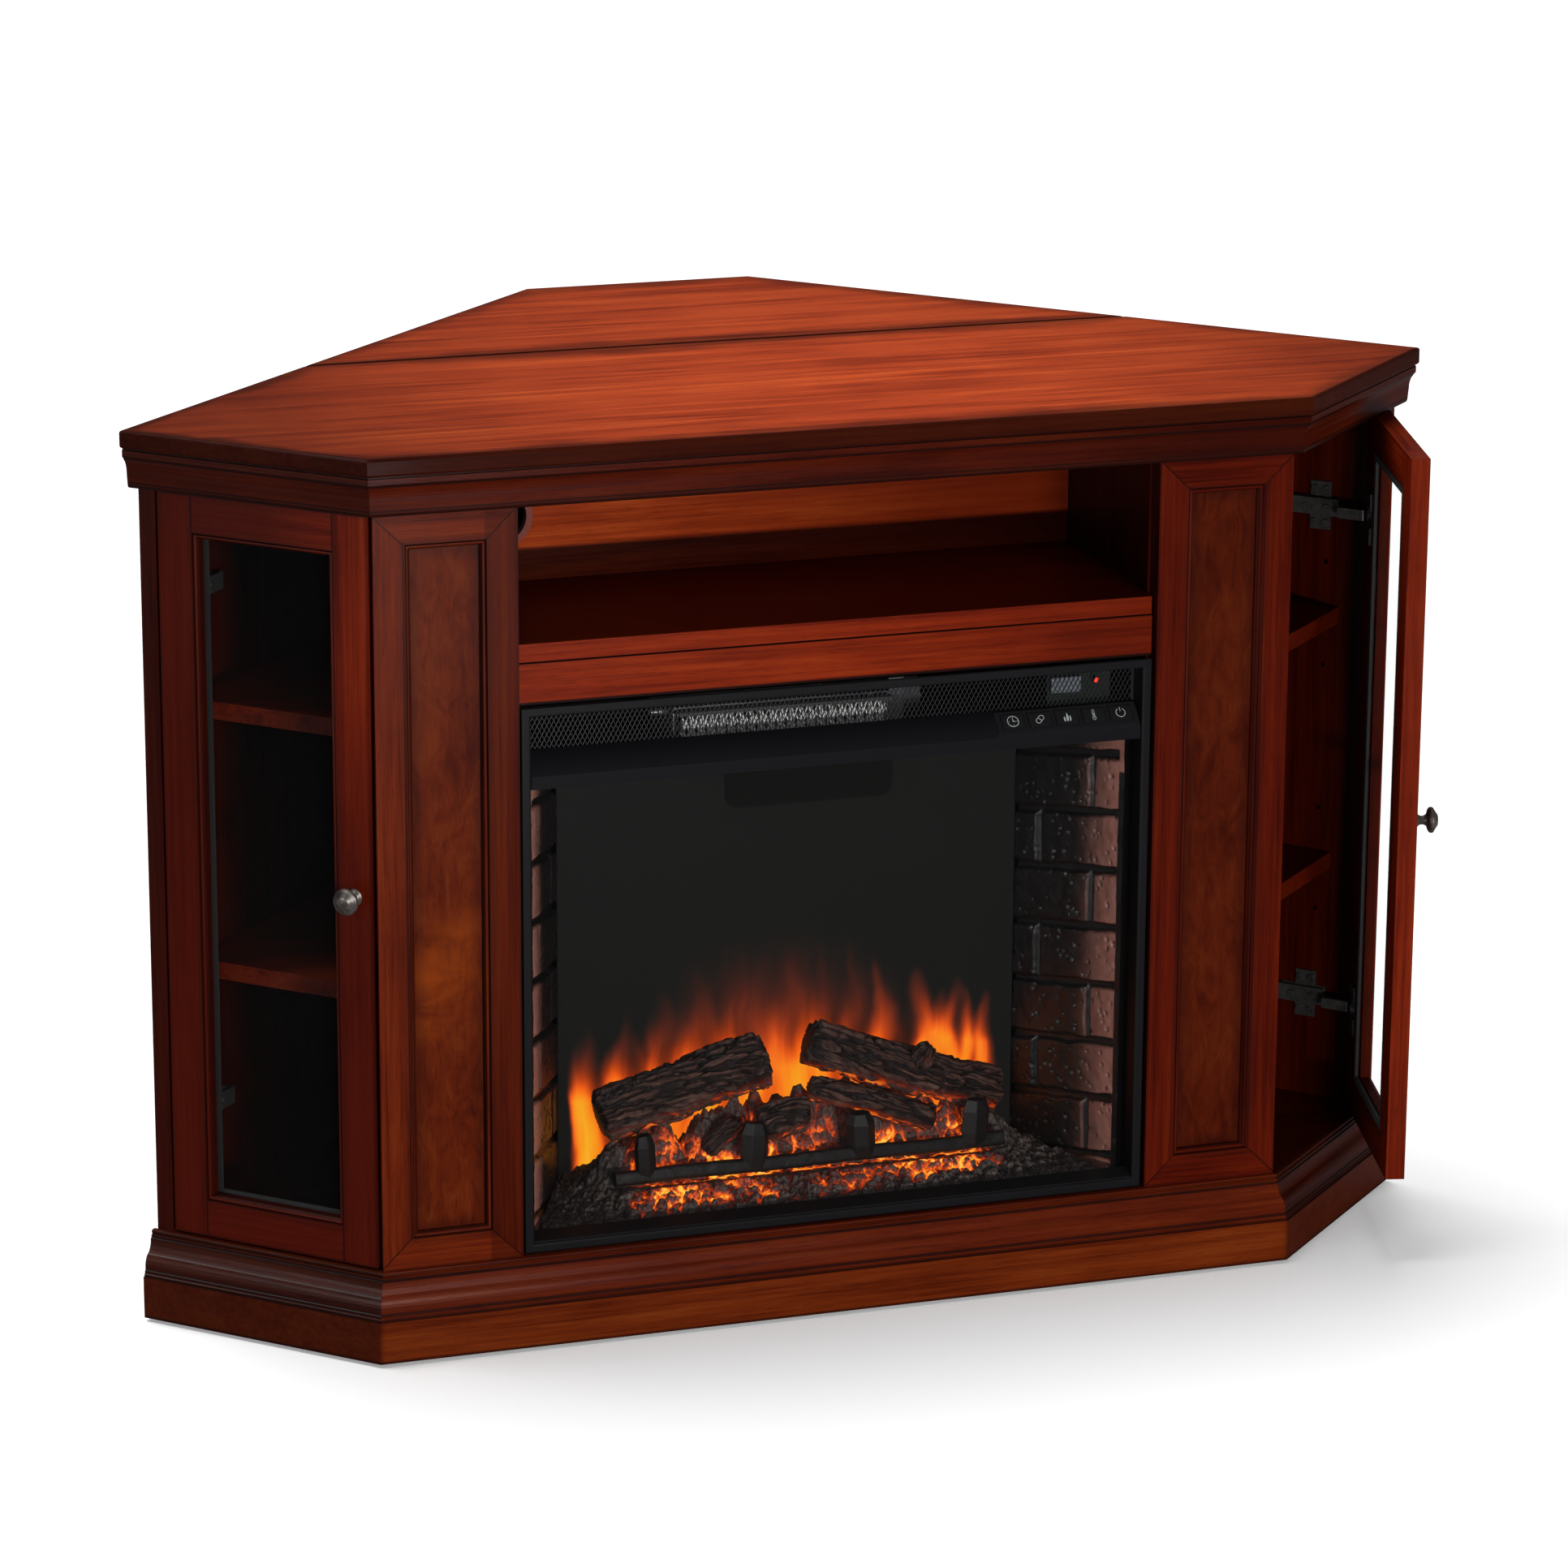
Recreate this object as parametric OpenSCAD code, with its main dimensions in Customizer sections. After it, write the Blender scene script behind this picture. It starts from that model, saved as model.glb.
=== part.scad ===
// Corner media cabinet with an electric firebox.
// Millimetres, +Z up, the front faces -Y. The origin lies on the floor under the centre
// foot, midway through the depth of the main cabinet.

/* [Overall] */
// Height from the floor to the upper face of the top
total_h = 819; // [810:1:830]
// Width of the top between its two side corners
top_w = 1215; // [1205:1:1225]
// Width of the front edge of the top
front_w = 860; // [855:1:865]
// Depth from the front edge to the side corners
side_d = 170; // [168:1:174]
// Depth of the main cabinet, which also stands alone against a flat wall
cab_d = 380; // [376:1:390]
// Depth to the rear edge of the corner extension
corner_d = 665; // [650:1:680]

/* [Boards] */
// Thickness of the top boards
top_t = 16; // [15:0.5:18]
// Thickness of panels, dividers and shelves
board_t = 16; // [15:0.5:18]
// Distance of the cabinet's body behind the edge of the top
body_in = 21; // [20:0.5:24]
// Distance of the wall panels behind the rear edges of the top
wall_in = 4; // [3:0.5:6]

/* [Base and crown] */
// Height of the glides under the base
glide_h = 3; // [2:0.5:5]
// Height of the plinth's upper edge
plinth_top = 42; // [40:0.5:44]
// Height of the cabinet's floor, level with the base cap
floor_z = 82; // [80:0.5:84]
// Height of the crown's lower edge
crown_z = 766; // [764:0.5:768]

/* [Columns and bay] */
// Half the distance between the two columns
bay_half = 294; // [292:0.5:296]
// Thickness of the column frames
column_t = 20; // [18:0.5:22]
// Flat width of the column frame members
member_w = 28; // [26:0.5:30]
// Height of the media shelf's upper face
shelf_z = 640; // [636:0.5:644]
// Depth of the media bay behind the column face
bay_depth = 224; // [200:1:230]
// Height of the apron rail under the media shelf
apron_h = 38; // [36:0.5:38]

/* [Doors] */
// Width of a door
door_w = 208.5; // [206:0.5:209]
// Thickness of a door
door_t = 17.5; // [17:0.5:19]
// Flat width of the stiles and rails
stile_w = 34; // [32:0.5:36]
// Angle at which the right door stands open
right_open = 33; // [0:1:60]
// Heights of the middle shelf pin in each row
pin_heights = [320, 560];

/* [Firebox] */
// Height of the firebox trim
trim_h = 501.5; // [500:0.5:502]
// Width of the trim's face
trim_w = 8.5; // [8:0.5:10]
// Depth of the firebox case
case_d = 186; // [180:1:196]
// Distance between the control keys
key_pitch = 25.6; // [25:0.1:26]
// Height of one course of bricks with its joint
course_h = 55.6; // [54:0.1:57]

/* [Hidden] */
$fn = 48;
// Overshoot of cutters past the faces they cut
over = 1;
// Glue line between members that meet
glue_gap = 0.1;

front_y = -cab_d / 2;
seam_y = cab_d / 2;
back_y = front_y + corner_d;
top_half = top_w / 2;
front_half = front_w / 2;
top_z = total_h - top_t;
side_a = atan2(side_d, top_half - front_half);
side_dir = [-cos(side_a), sin(side_a)];
side_in = [sin(side_a), cos(side_a)];
wall_dir = [1, 1] / sqrt(2);
wall_inward = [1, -1] / sqrt(2);
corner_a = [-top_half, front_y + side_d];
corner_b = [-front_half, front_y];

// Where the line through p along a meets the line through q along b
function meet(p, a, q, b) =
    p + a * ((q[0] - p[0]) * b[1] - (q[1] - p[1]) * b[0]) / (a[0] * b[1] - a[1] * b[0]);
// Corners of the plan moved in by o from the front and door edges and by w from the walls
function front_corner(o) = meet(corner_b + [0, o], [1, 0], corner_b + side_in * o, side_dir);
function side_corner(o, w) =
    meet(corner_b + side_in * o, side_dir, corner_a + wall_inward * w, wall_dir);
function rear_corner(w, y) = meet(corner_a + wall_inward * w, wall_dir, [0, y], [1, 0]);
function flip(p) = [-p[0], p[1]];
// Plan of the cabinet with its rear edge at y, anticlockwise from the front left corner
function outline(o, w, y) =
    let (b = front_corner(o), a = side_corner(o, w), h = rear_corner(w, y))
    [b, flip(b), flip(a), flip(h), h, a];
// Points of an elliptical arc
function arc(c, rx, ry, a0, a1, n) =
    [for (i = [0:n]) let (a = a0 + (a1 - a0) * i / n) c + [rx * cos(a), ry * sin(a)]];

body_b = front_corner(body_in);
body_y = body_b[1];
column_x1 = -body_b[0];
column_back = body_y + column_t;
wall_back = corner_a + wall_inward * (wall_in + board_t);
panel_corner = meet(body_b, side_dir, wall_back, wall_dir);
side_len = norm(panel_corner - body_b);
rear_y = seam_y - wall_in;

module place_at(p) { translate([p[0], p[1], 0]) children(); }
module both_sides() { children(); mirror([1, 0, 0]) children(); }
// X along the left door side from the column corner, Y out of the cabinet
module on_side() { place_at(body_b) rotate([0, 0, 180 - side_a]) children(); }
// X along the left wall panel's inner face from its front corner, Y into the cabinet
module on_wall() { place_at(panel_corner) rotate([0, 0, 45]) mirror([0, 1, 0]) children(); }
module plate(points, z0, z1) { translate([0, 0, z0]) linear_extrude(z1 - z0) polygon(points); }
// A shape drawn in the XZ plane, extruded from y0 to y1
module slab_xz(y0, y1) { translate([0, y1, 0]) rotate([90, 0, 0]) linear_extrude(y1 - y0) children(); }
// A shape drawn in the YZ plane, extruded from x0 to x1
module slab_yz(x0, x1) { translate([x0, 0, 0]) rotate([90, 0, 90]) linear_extrude(x1 - x0) children(); }
module along_x(x, y, z) { translate([x, y, z]) rotate([0, 90, 0]) children(); }
module along_y(x, y, z) { translate([x, y, z]) rotate([-90, 0, 0]) children(); }

// ---------------------------------------------------------------- top boards
edge_r = 2.4;
seam_gap = 1;
// Waste outside a rounded edge: x runs out from the edge, y up from the face
module edge_waste(r) {
    polygon(concat([[2, -r], [2, 2], [-r, 2]], arc([-r, -r], r, r, 90, 0, 3)));
}
// Rounds one face of a board along the edges of its anticlockwise plan
module edge_cutters(points, z, below, r) {
    for (k = [0:len(points) - 1]) {
        start = points[(k + 1) % len(points)];
        run = points[k] - start;
        translate([start[0], start[1], z]) rotate([0, 0, atan2(run[1], run[0])])
            mirror([0, 0, below]) slab_yz(-5, norm(run) + 5) edge_waste(r);
    }
}
module eased_board(points, z0, t, r) {
    difference() {
        plate(points, z0, z0 + t);
        edge_cutters(points, z0 + t, 0, r);
        edge_cutters(points, z0, 1, r);
    }
}
module top_panel() {
    color("sienna") eased_board(outline(0, 0, seam_y - seam_gap / 2), top_z, top_t, edge_r);
}
cleat_x = 120;
module top_extension() {
    h = rear_corner(0, seam_y + seam_gap / 2);
    g = rear_corner(0, back_y);
    color("sienna") {
        eased_board([h, flip(h), flip(g), g], top_z, top_t, edge_r);
        // Cleats that keep the board flat
        for (s = [-1, 1]) translate([s * cleat_x - 15, seam_y + 60, top_z - 18]) cube([30, 190, 18]);
    }
}
bracket_x = 230;
bracket_w = 30;
bracket_t = 3;
module extension_brackets() {
    arm = 140;
    leg = 60;
    color("dimgray") both_sides() difference() {
        union() {
            translate([bracket_x, rear_y, top_z - leg]) cube([bracket_w, bracket_t, leg]);
            translate([bracket_x, rear_y, top_z - bracket_t]) cube([bracket_w, arm, bracket_t]);
            // Gusset
            translate([0, rear_y, top_z]) slab_yz(bracket_x + 13.5, bracket_x + 16.5)
                polygon([[1, -1], [arm - 25, -bracket_t], [bracket_t, -leg + 8], [1, -leg + 8]]);
        }
        for (x = [7, bracket_w - 7], z = [15, 45])
            along_y(bracket_x + x, rear_y - over, top_z - z) cylinder(r = 2.5, h = bracket_t + 2 * over);
    }
}

// ---------------------------------------------------------------- mouldings
// Longer than any moulding is deep
reach = 60;
mitre_dir = front_corner(1) - corner_b;
// A run between two corners of the plan, cut along d0 and d1. The profile's x is the
// distance in from the edge of the top and its y is the height.
module moulding_run(p0, d0, p1, d1) {
    run = p1 - p0;
    gap = run / norm(run) * glue_gap / 2;
    intersection() {
        place_at(p0) rotate([0, 0, atan2(run[1], run[0])]) slab_yz(-reach, norm(run) + reach) children();
        linear_extrude(total_h) polygon([p0 + gap - d0 * reach, p1 - gap - d1 * reach,
                                         p1 - gap + d1 * reach, p0 + gap + d0 * reach]);
    }
}
module front_run() { moulding_run(corner_b, mitre_dir, flip(corner_b), flip(mitre_dir)) children(); }
module side_runs() {
    both_sides() moulding_run(corner_a + wall_inward / 2, wall_dir, corner_b, mitre_dir) children();
}
// Quirk and fascia under the top, a cavetto, a plain band and a rounded foot
module crown_profile() {
    cavetto_z = crown_z + 13.8;
    polygon(concat(
        [[body_in, top_z], [3.4, top_z], [3.4, top_z - 1.5], [2.6, top_z - 2], [2.6, top_z - 7]],
        [[3.2, top_z - 8.6], [4.4, top_z - 9.2]],
        arc([2.2, cavetto_z], 6.8, top_z - 9.4 - cavetto_z, 65, 0, 5),
        arc([12.2, crown_z + 5], 2.4, 5, 180, 270, 4),
        [[body_in, crown_z]]
    ));
}
module crown_front() { color("maroon") front_run() crown_profile(); }
module crown_returns() { color("maroon") side_runs() crown_profile(); }
// Two small beads, an ogee that flares out, and a fillet on the plinth
module base_cap_profile() {
    polygon(concat(
        [[body_in, plinth_top], [2.4, plinth_top], [2.4, plinth_top + 2], [3.6, plinth_top + 2.6],
         [3.6, plinth_top + 5]],
        arc([11.6, floor_z - 32], 7.2, 12.6, 190, 105, 6),
        arc([8, floor_z - 7.5], 6.2, 12.9, -73, 0, 5),
        [[15.4, floor_z - 7], [15.4, floor_z - 4.6], [17, floor_z - 4]],
        arc([17.8, floor_z - 1.8], 1.8, 1.8, 220, 90, 4),
        [[body_in, floor_z]]
    ));
}
module base_cap_front() { color("maroon") front_run() base_cap_profile(); }
module base_cap_returns() { color("maroon") side_runs() base_cap_profile(); }
plinth_in = 1;
module plinth_profile() {
    translate([plinth_in, glide_h]) square([body_in - plinth_in, plinth_top - glide_h]);
}
module plinth_boards() {
    color("maroon") { front_run() plinth_profile(); side_runs() plinth_profile(); }
}

// ---------------------------------------------------------------- base
// A ring of boards behind the plinth that carries the cabinet's floor
module base_frame() {
    o = outline(body_in, wall_in, rear_y);
    i = outline(body_in + board_t, wall_in + board_t, rear_y - board_t);
    color("peru") {
        for (k = [0:5]) {
            gap = (o[(k + 1) % 6] - o[k]) / norm(o[(k + 1) % 6] - o[k]) * glue_gap;
            plate([o[k] + gap, o[(k + 1) % 6] - gap, i[(k + 1) % 6] - gap, i[k] + gap],
                  glide_h, floor_z - board_t);
        }
        // Bearer under the middle of the floor, tapped for the centre foot
        difference() {
            translate([-30, rear_y - board_t - 160, floor_z - board_t - 22]) cube([60, 159, 22]);
            translate([0, 0, floor_z - board_t - 22 - over]) cylinder(r = foot_r, h = 18);
        }
    }
}
foot_r = 4;
module glides() {
    color("dimgray") {
        for (p = outline(body_in + board_t / 2, wall_in + board_t / 2, rear_y - board_t / 2))
            place_at(p) { cylinder(r1 = 7, r2 = 8, h = 1); translate([0, 0, 1]) cylinder(r = 8, h = glide_h - 1); }
        // Centre foot: a disc on a threaded stem with a lock nut
        cylinder(r = 15, h = 5);
        translate([0, 0, 5]) cylinder(r = foot_r - 0.05, h = floor_z - board_t - 12);
        translate([0, 0, floor_z - board_t - 22 - 7]) cylinder(r = 7.5, h = 6, $fn = 6);
    }
}
module bottom_panel() {
    color("brown") plate(outline(body_in, wall_in, rear_y), floor_z - board_t, floor_z);
}

// ---------------------------------------------------------------- mitred frames
bead_w = 5;
// A frame member seen from its end: x in from the outer edge, y back from the face.
// A bead runs along the inner edge, and the infill lies behind it at the rebate's depth.
module member_profile(w, t, rebate) {
    polygon(concat([[0, 0], [w, 0], [w + 0.5, 1.4]],
                   arc([w + 2.2, 2.3], 1.7, 1.7, 200, 350, 6),
                   [[w + bead_w, 4], [w + bead_w, rebate], [w, rebate], [w, t], [0, t]]));
}
// Four mitred members along a rectangle in the XZ plane, faces at y = 0, bodies behind
module mitred_frame(x0, x1, z0, z1) {
    c = [[x0, z0], [x1, z0], [x1, z1], [x0, z1]];
    for (k = [0:3]) {
        p = c[k];
        q = c[(k + 1) % 4];
        along = (q - p) / norm(q - p);
        inward = [-along[1], along[0]];
        gap = along * glue_gap / 2;
        intersection() {
            translate([p[0], 0, p[1]]) rotate([0, -atan2(along[1], along[0]), 0])
                rotate([180, 0, 0]) rotate([0, 90, 0]) linear_extrude(norm(q - p)) children();
            slab_xz(-reach, over) polygon([p + gap, q - gap, q - gap + (inward - along) * reach,
                                           p + gap + (inward + along) * reach]);
        }
    }
}

// ---------------------------------------------------------------- columns
column_rebate = 7;
module column() {
    color("brown") difference() {
        translate([0, body_y, 0]) mirror([0, 1, 0]) mitred_frame(bay_half, column_x1, floor_z, crown_z)
            member_profile(member_w, column_t, column_rebate);
        // The outer edge is bevelled to face the edge of the door
        mirror([1, 0, 0]) on_side() translate([door_x0 - door_gap, -60, 0]) cube([60, 80, total_h]);
    }
}
module left_column() { mirror([1, 0, 0]) column(); }
module right_column() { column(); }
module column_panels() {
    m = member_w + 0.2;
    color("chocolate") both_sides() translate([bay_half + m, body_y + column_rebate, floor_z + m])
        cube([column_x1 - bay_half - 2 * m, 10, crown_z - floor_z - 2 * m]);
}

// ---------------------------------------------------------------- carcase
divider_x = bay_half - 2;
rear_panel_t = 4;
inner_y = rear_y - rear_panel_t;
pin_r = 2.5;
pin_depth = 10;
pin_rows = [-50, 0, 50];
wall_pins = [57, 207];
divider_pins = [column_back + 40, inner_y - 45];

module wall_side_panels() {
    color("brown") both_sides() difference() {
        plate([side_corner(body_in, wall_in), panel_corner, rear_corner(wall_in + board_t, rear_y),
               rear_corner(wall_in, rear_y)], floor_z, top_z);
        on_wall() for (x = wall_pins, z = pin_heights, dz = pin_rows)
            along_y(x, -pin_depth, z + dz) cylinder(r = pin_r, h = pin_depth + over);
    }
}
module dividers() {
    color("brown") both_sides() difference() {
        translate([divider_x, column_back, floor_z])
            cube([board_t, inner_y - column_back, top_z - floor_z]);
        for (y = divider_pins, z = pin_heights, dz = pin_rows)
            along_x(divider_x + board_t - pin_depth, y, z + dz) cylinder(r = pin_r, h = pin_depth + over);
    }
}
module carcase_rails() {
    o = outline(body_in, wall_in, rear_y);
    i = outline(body_in + board_t, wall_in, rear_y);
    side_end = meet(i[0], side_dir, wall_back, wall_dir);
    gap = [glue_gap, 0];
    color("brown") {
        // Header rails behind the crown
        plate([o[0] + gap, o[1] - gap, i[1] - gap, i[0] + gap], crown_z, top_z);
        both_sides() plate([o[0] + side_dir * glue_gap, i[0] + side_dir * glue_gap, side_end, panel_corner],
                           crown_z, top_z);
        // Rear rails between the dividers, above and below the service opening
        for (z = [floor_z, top_z - 60]) translate([-divider_x, inner_y - board_t, z])
            cube([2 * divider_x, board_t, 60]);
    }
}
// The bay's cables leave by one outlet behind the left column
cable_r = 25;
cable_x = -250;
cable_z = shelf_z + 60;
service_half = 250;
module rear_panel() {
    half = -rear_corner(wall_in + board_t, rear_y)[0] - 0.3;
    color("tan") difference() {
        translate([-half, inner_y, floor_z]) cube([2 * half, rear_panel_t, top_z - floor_z]);
        // Service opening behind the firebox, and the outlet of the bay's cables
        translate([-service_half, inner_y - over, floor_z + 60])
            cube([2 * service_half, rear_panel_t + 2 * over, 440]);
        along_y(cable_x, inner_y - over, cable_z) cylinder(r = cable_r, h = rear_panel_t + 2 * over);
    }
}
bay_back_y = body_y + bay_depth;
bay_front_y = body_y + 9;
apron_proud = 1.6;
module media_shelf() {
    color("brown") translate([-divider_x, bay_front_y, shelf_z - board_t])
        cube([2 * divider_x, bay_back_y - bay_front_y, board_t]);
}
// The apron stands a little proud of the shelf and has a rounded upper edge
module apron_rail() {
    r = 2;
    color("brown") translate([0, bay_front_y - apron_proud, shelf_z - board_t])
        slab_yz(-divider_x, divider_x)
            polygon(concat([[board_t, 0], [board_t, -apron_h], [0, -apron_h]], arc([r, -r], r, r, 180, 90, 4)));
}
module bay_back() {
    color("sienna") difference() {
        translate([-divider_x, bay_back_y, shelf_z - board_t])
            cube([2 * divider_x, 5, top_z - shelf_z + board_t]);
        along_y(cable_x, bay_back_y - over, cable_z) cylinder(r = cable_r, h = 7);
    }
}
// Plastic bushes that line the cable outlet in the bay's back and in the rear panel
module cable_bush() {
    difference() {
        union() { cylinder(r = cable_r + 4, h = 1.9); cylinder(r = cable_r - 0.1, h = 9); }
        translate([0, 0, -over]) cylinder(r = cable_r - 2, h = 12);
    }
}
module cable_bushes() {
    color("black") {
        along_y(cable_x, bay_back_y - 2, cable_z) cable_bush();
        translate([cable_x, rear_y + 2, cable_z]) rotate([90, 0, 0]) cable_bush();
    }
}

// ---------------------------------------------------------------- adjustable shelves
shelf_setback = 42;
shelf_slack = 1;
module side_shelf(z) {
    line = body_b + side_in * shelf_setback;
    wall = wall_back + wall_inward * shelf_slack;
    x = -divider_x - board_t - shelf_slack;
    rear = inner_y - 3;
    front = column_back + 2;
    slot = pin_r + 0.2;
    difference() {
        plate([meet(line, side_dir, wall, wall_dir), meet([0, front], [1, 0], line, side_dir),
               [x, front], [x, rear], meet([0, rear], [1, 0], wall, wall_dir)], z, z + board_t);
        // Blind slots hide the pins
        on_wall() for (p = wall_pins)
            translate([p - slot, -over, z - over]) cube([2 * slot, 11, board_t / 2 + pin_r + over]);
        for (y = divider_pins) translate([x - 10, y - slot, z - over])
            cube([11, 2 * slot, board_t / 2 + pin_r + over]);
    }
}
module adjustable_shelves() {
    color("brown") both_sides() for (z = pin_heights) side_shelf(z - board_t / 2);
}
pin_fit = 0.05;
module shelf_pins() {
    color("silver") both_sides() for (z = pin_heights) {
        on_wall() for (x = wall_pins) along_y(x, 0.5 - pin_depth, z) cylinder(r = pin_r - pin_fit, h = 17);
        for (y = divider_pins) along_x(-divider_x - board_t - 7.5, y, z)
            cylinder(r = pin_r - pin_fit, h = 17);
    }
}

// ---------------------------------------------------------------- doors
// Drawn on the left side, closed: x from the column corner, y out of the cabinet
door_gap = 2.5;
door_x1 = side_len - door_gap;
door_x0 = door_x1 - door_w;
door_z0 = floor_z + 2;
door_z1 = crown_z - 2;
hinge_x = side_len - door_gap / 2;
hinge_zs = [door_z0 + 100, door_z1 - 100];
glass_depth = 11.5;
glass_t = 3;
cup_r = 13;
cup_x = door_x1 - 18;
cup_depth = 11.2;

module door_frame() {
    color("firebrick") difference() {
        mitred_frame(door_x0, door_x1, door_z0, door_z1) member_profile(stile_w, door_t, glass_depth);
        for (z = hinge_zs) along_y(cup_x, -door_t - over, z) cylinder(r = cup_r, h = cup_depth + over);
    }
}
module door_glass() {
    m = stile_w + 0.5;
    color("lightblue", 0.4) translate([door_x0 + m, -glass_depth - glass_t, door_z0 + m])
        cube([door_w - 2 * m, glass_t, door_z1 - door_z0 - 2 * m]);
}
// Retaining strips behind the glass, one along each side of the frame
module door_gasket() {
    strip = 7;
    color("black") translate([0, -glass_depth - glass_t, 0])
        mitred_frame(door_x0 + stile_w + 0.2, door_x1 - stile_w - 0.2, door_z0 + stile_w + 0.2,
                     door_z1 - stile_w - 0.2) square([strip, door_t - glass_depth - glass_t - 0.4]);
}
// Mushroom knob: a stepped rosette, a waisted neck and a domed head
module door_knob() {
    color("darkslategray") along_y(door_x0 + stile_w / 2, 0, (door_z0 + door_z1) / 2) rotate_extrude()
        polygon(concat([[0, 0], [7.5, 0], [7.5, 1.2], [6.2, 2]],
                       arc([9.4, 7.2], 5.4, 5.4, 235, 125, 6), [[10.4, 13], [11.8, 14.4]],
                       arc([6, 16.2], 6, 2.6, -15, 50, 4), arc([0, 17], 11, 5, 60, 90, 3)));
}
// A pressed cup with a flange, two flange screws and the pivot pin
module hinge_cups() {
    wall = 1;
    color("dimgray") for (z = hinge_zs) {
        along_y(cup_x, -door_t, z) difference() {
            union() {
                cylinder(r = cup_r, h = cup_depth);
                translate([-9, -24, -1.2]) cube([18, 48, 1.2]);
            }
            translate([0, 0, -2 * over]) cylinder(r = cup_r - wall, h = cup_depth - wall + 2 * over);
        }
        for (dz = [-19, 19]) along_y(cup_x, -door_t - 2.4, z + dz) cylinder(r1 = 2.4, r2 = 3.8, h = 1.2);
    }
}
module left_door() { on_side() children(); }
module right_door() {
    mirror([1, 0, 0]) on_side() translate([hinge_x, 0, 0]) rotate([0, 0, -right_open])
        translate([-hinge_x, 0, 0]) children();
}
module left_door_frame() { left_door() door_frame(); }
module left_door_glass() { left_door() door_glass(); }
module left_door_gasket() { left_door() door_gasket(); }
module left_door_knob() { left_door() door_knob(); }
module left_hinge_cups() { left_door() hinge_cups(); }
module right_door_frame() { right_door() door_frame(); }
module right_door_glass() { right_door() door_glass(); }
module right_door_gasket() { right_door() door_gasket(); }
module right_door_knob() { right_door() door_knob(); }
module right_hinge_cups() { right_door() hinge_cups(); }

// Hinge arm on its plate. Its nose reaches into the cup of the closed door.
plate_x = 63;
arm_t = 2;
nose_x = 13.2;
nose_y = 20.2;
nose_r = 2.25;
module screw_head(r) {
    difference() {
        cylinder(r1 = r, r2 = r * 0.8, h = 1.6);
        for (a = [0, 90]) rotate([0, 0, a]) translate([-r / 2, -0.4, 0.8]) cube([r, 0.8, over]);
    }
}
module hinge_arm() {
    // Cross-shaped mounting plate
    translate([plate_x - 10, 0, -23]) cube([20, arm_t, 46]);
    translate([plate_x - 20, 0, -9]) cube([44, arm_t, 18]);
    translate([plate_x - 12, arm_t, -6]) cube([34, 4, 12]);
    // Channel arm
    for (z = [-8, 6.8]) translate([plate_x - 20, 3, z]) cube([50, 3, 1.2]);
    translate([plate_x - 20, 6, -8]) cube([50, arm_t, 16]);
    // Crank and nose
    translate([0, 0, -5]) linear_extrude(10) {
        polygon([[plate_x - 20, 6], [plate_x - 20, 8], [38, nose_y + nose_r], [nose_x, nose_y + nose_r],
                 [nose_x, nose_y - nose_r], [36, nose_y - nose_r]]);
        translate([nose_x, nose_y]) circle(r = nose_r);
    }
    for (x = [-6, 6], z = [-16, 16]) along_y(plate_x + x, arm_t, z) screw_head(3.8);
    for (x = [-8, 12]) along_y(plate_x + x, 6 + arm_t, 0) screw_head(3.6);
}
module hinge_arms() {
    color("dimgray") both_sides() on_wall() for (z = hinge_zs) translate([0, 0, z]) hinge_arm();
}

// ---------------------------------------------------------------- firebox shell
sheet = 1.2;
fire_y = body_y + 3;
fire_half = divider_x - 0.5;
fire_z0 = floor_z + 0.5;
fire_z1 = fire_z0 + trim_h;
trim_leg = 24;
case_y0 = fire_y + trim_leg;
case_y1 = case_y0 + case_d;
case_half = fire_half - 4;
case_z1 = fire_z1 - 4;
hearth_z = fire_z0 + sheet;
chamber_z = 512;
chamber_z0 = chamber_z - sheet;
inlet_x = 215;
inlet_z = fire_z0 + 90;
inlet_w = 27;
inlet_h = 20;

// Angle trim: a narrow face with a rounded edge and a leg that turns back into the opening
module trim_frame() {
    color("black") translate([0, fire_y, 0]) {
        mirror([0, 1, 0]) mitred_frame(-fire_half, fire_half, fire_z0, fire_z1)
            polygon(concat(arc([1.5, 1.5], 1.5, 1.5, 180, 270, 3), arc([trim_w - 2, 2], 2, 2, 270, 360, 3),
                           [[trim_w, trim_leg], [trim_w - 1.5, trim_leg], [trim_w - 1.5, 2], [0, 2]]));
        // Sill that rises from the trim to the glass
        slab_yz(-fire_half + trim_w + 0.2, fire_half - trim_w - 0.2) translate([0, fire_z0 + trim_w + 0.1])
            polygon([[2, 0], [trim_leg - 4, 0], [trim_leg - 4, 5], [2, 1.5]]);
    }
}
module firebox_case() {
    depth = case_y1 - case_y0;
    color("dimgray") {
        difference() {
            translate([-case_half, case_y0, fire_z0]) cube([2 * case_half, depth, case_z1 - fire_z0]);
            translate([-case_half + sheet, case_y0 - over, hearth_z])
                cube([2 * (case_half - sheet), depth - sheet + over, chamber_z0 - hearth_z]);
            translate([-case_half + sheet, case_y0 - over, chamber_z])
                cube([2 * (case_half - sheet), depth - sheet + over, case_z1 - sheet - chamber_z]);
            // Air slots behind the blower
            for (k = [-6:2]) translate([k * 20 - 6, case_y1 - sheet - over, chamber_z + 18])
                cube([12, sheet + 2 * over, 30]);
            translate([inlet_x - inlet_w / 2 - 0.2, case_y1 - sheet - over, inlet_z - inlet_h / 2 - 0.2])
                cube([inlet_w + 0.4, sheet + 2 * over, inlet_h + 0.4]);
        }
    }
}
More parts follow.
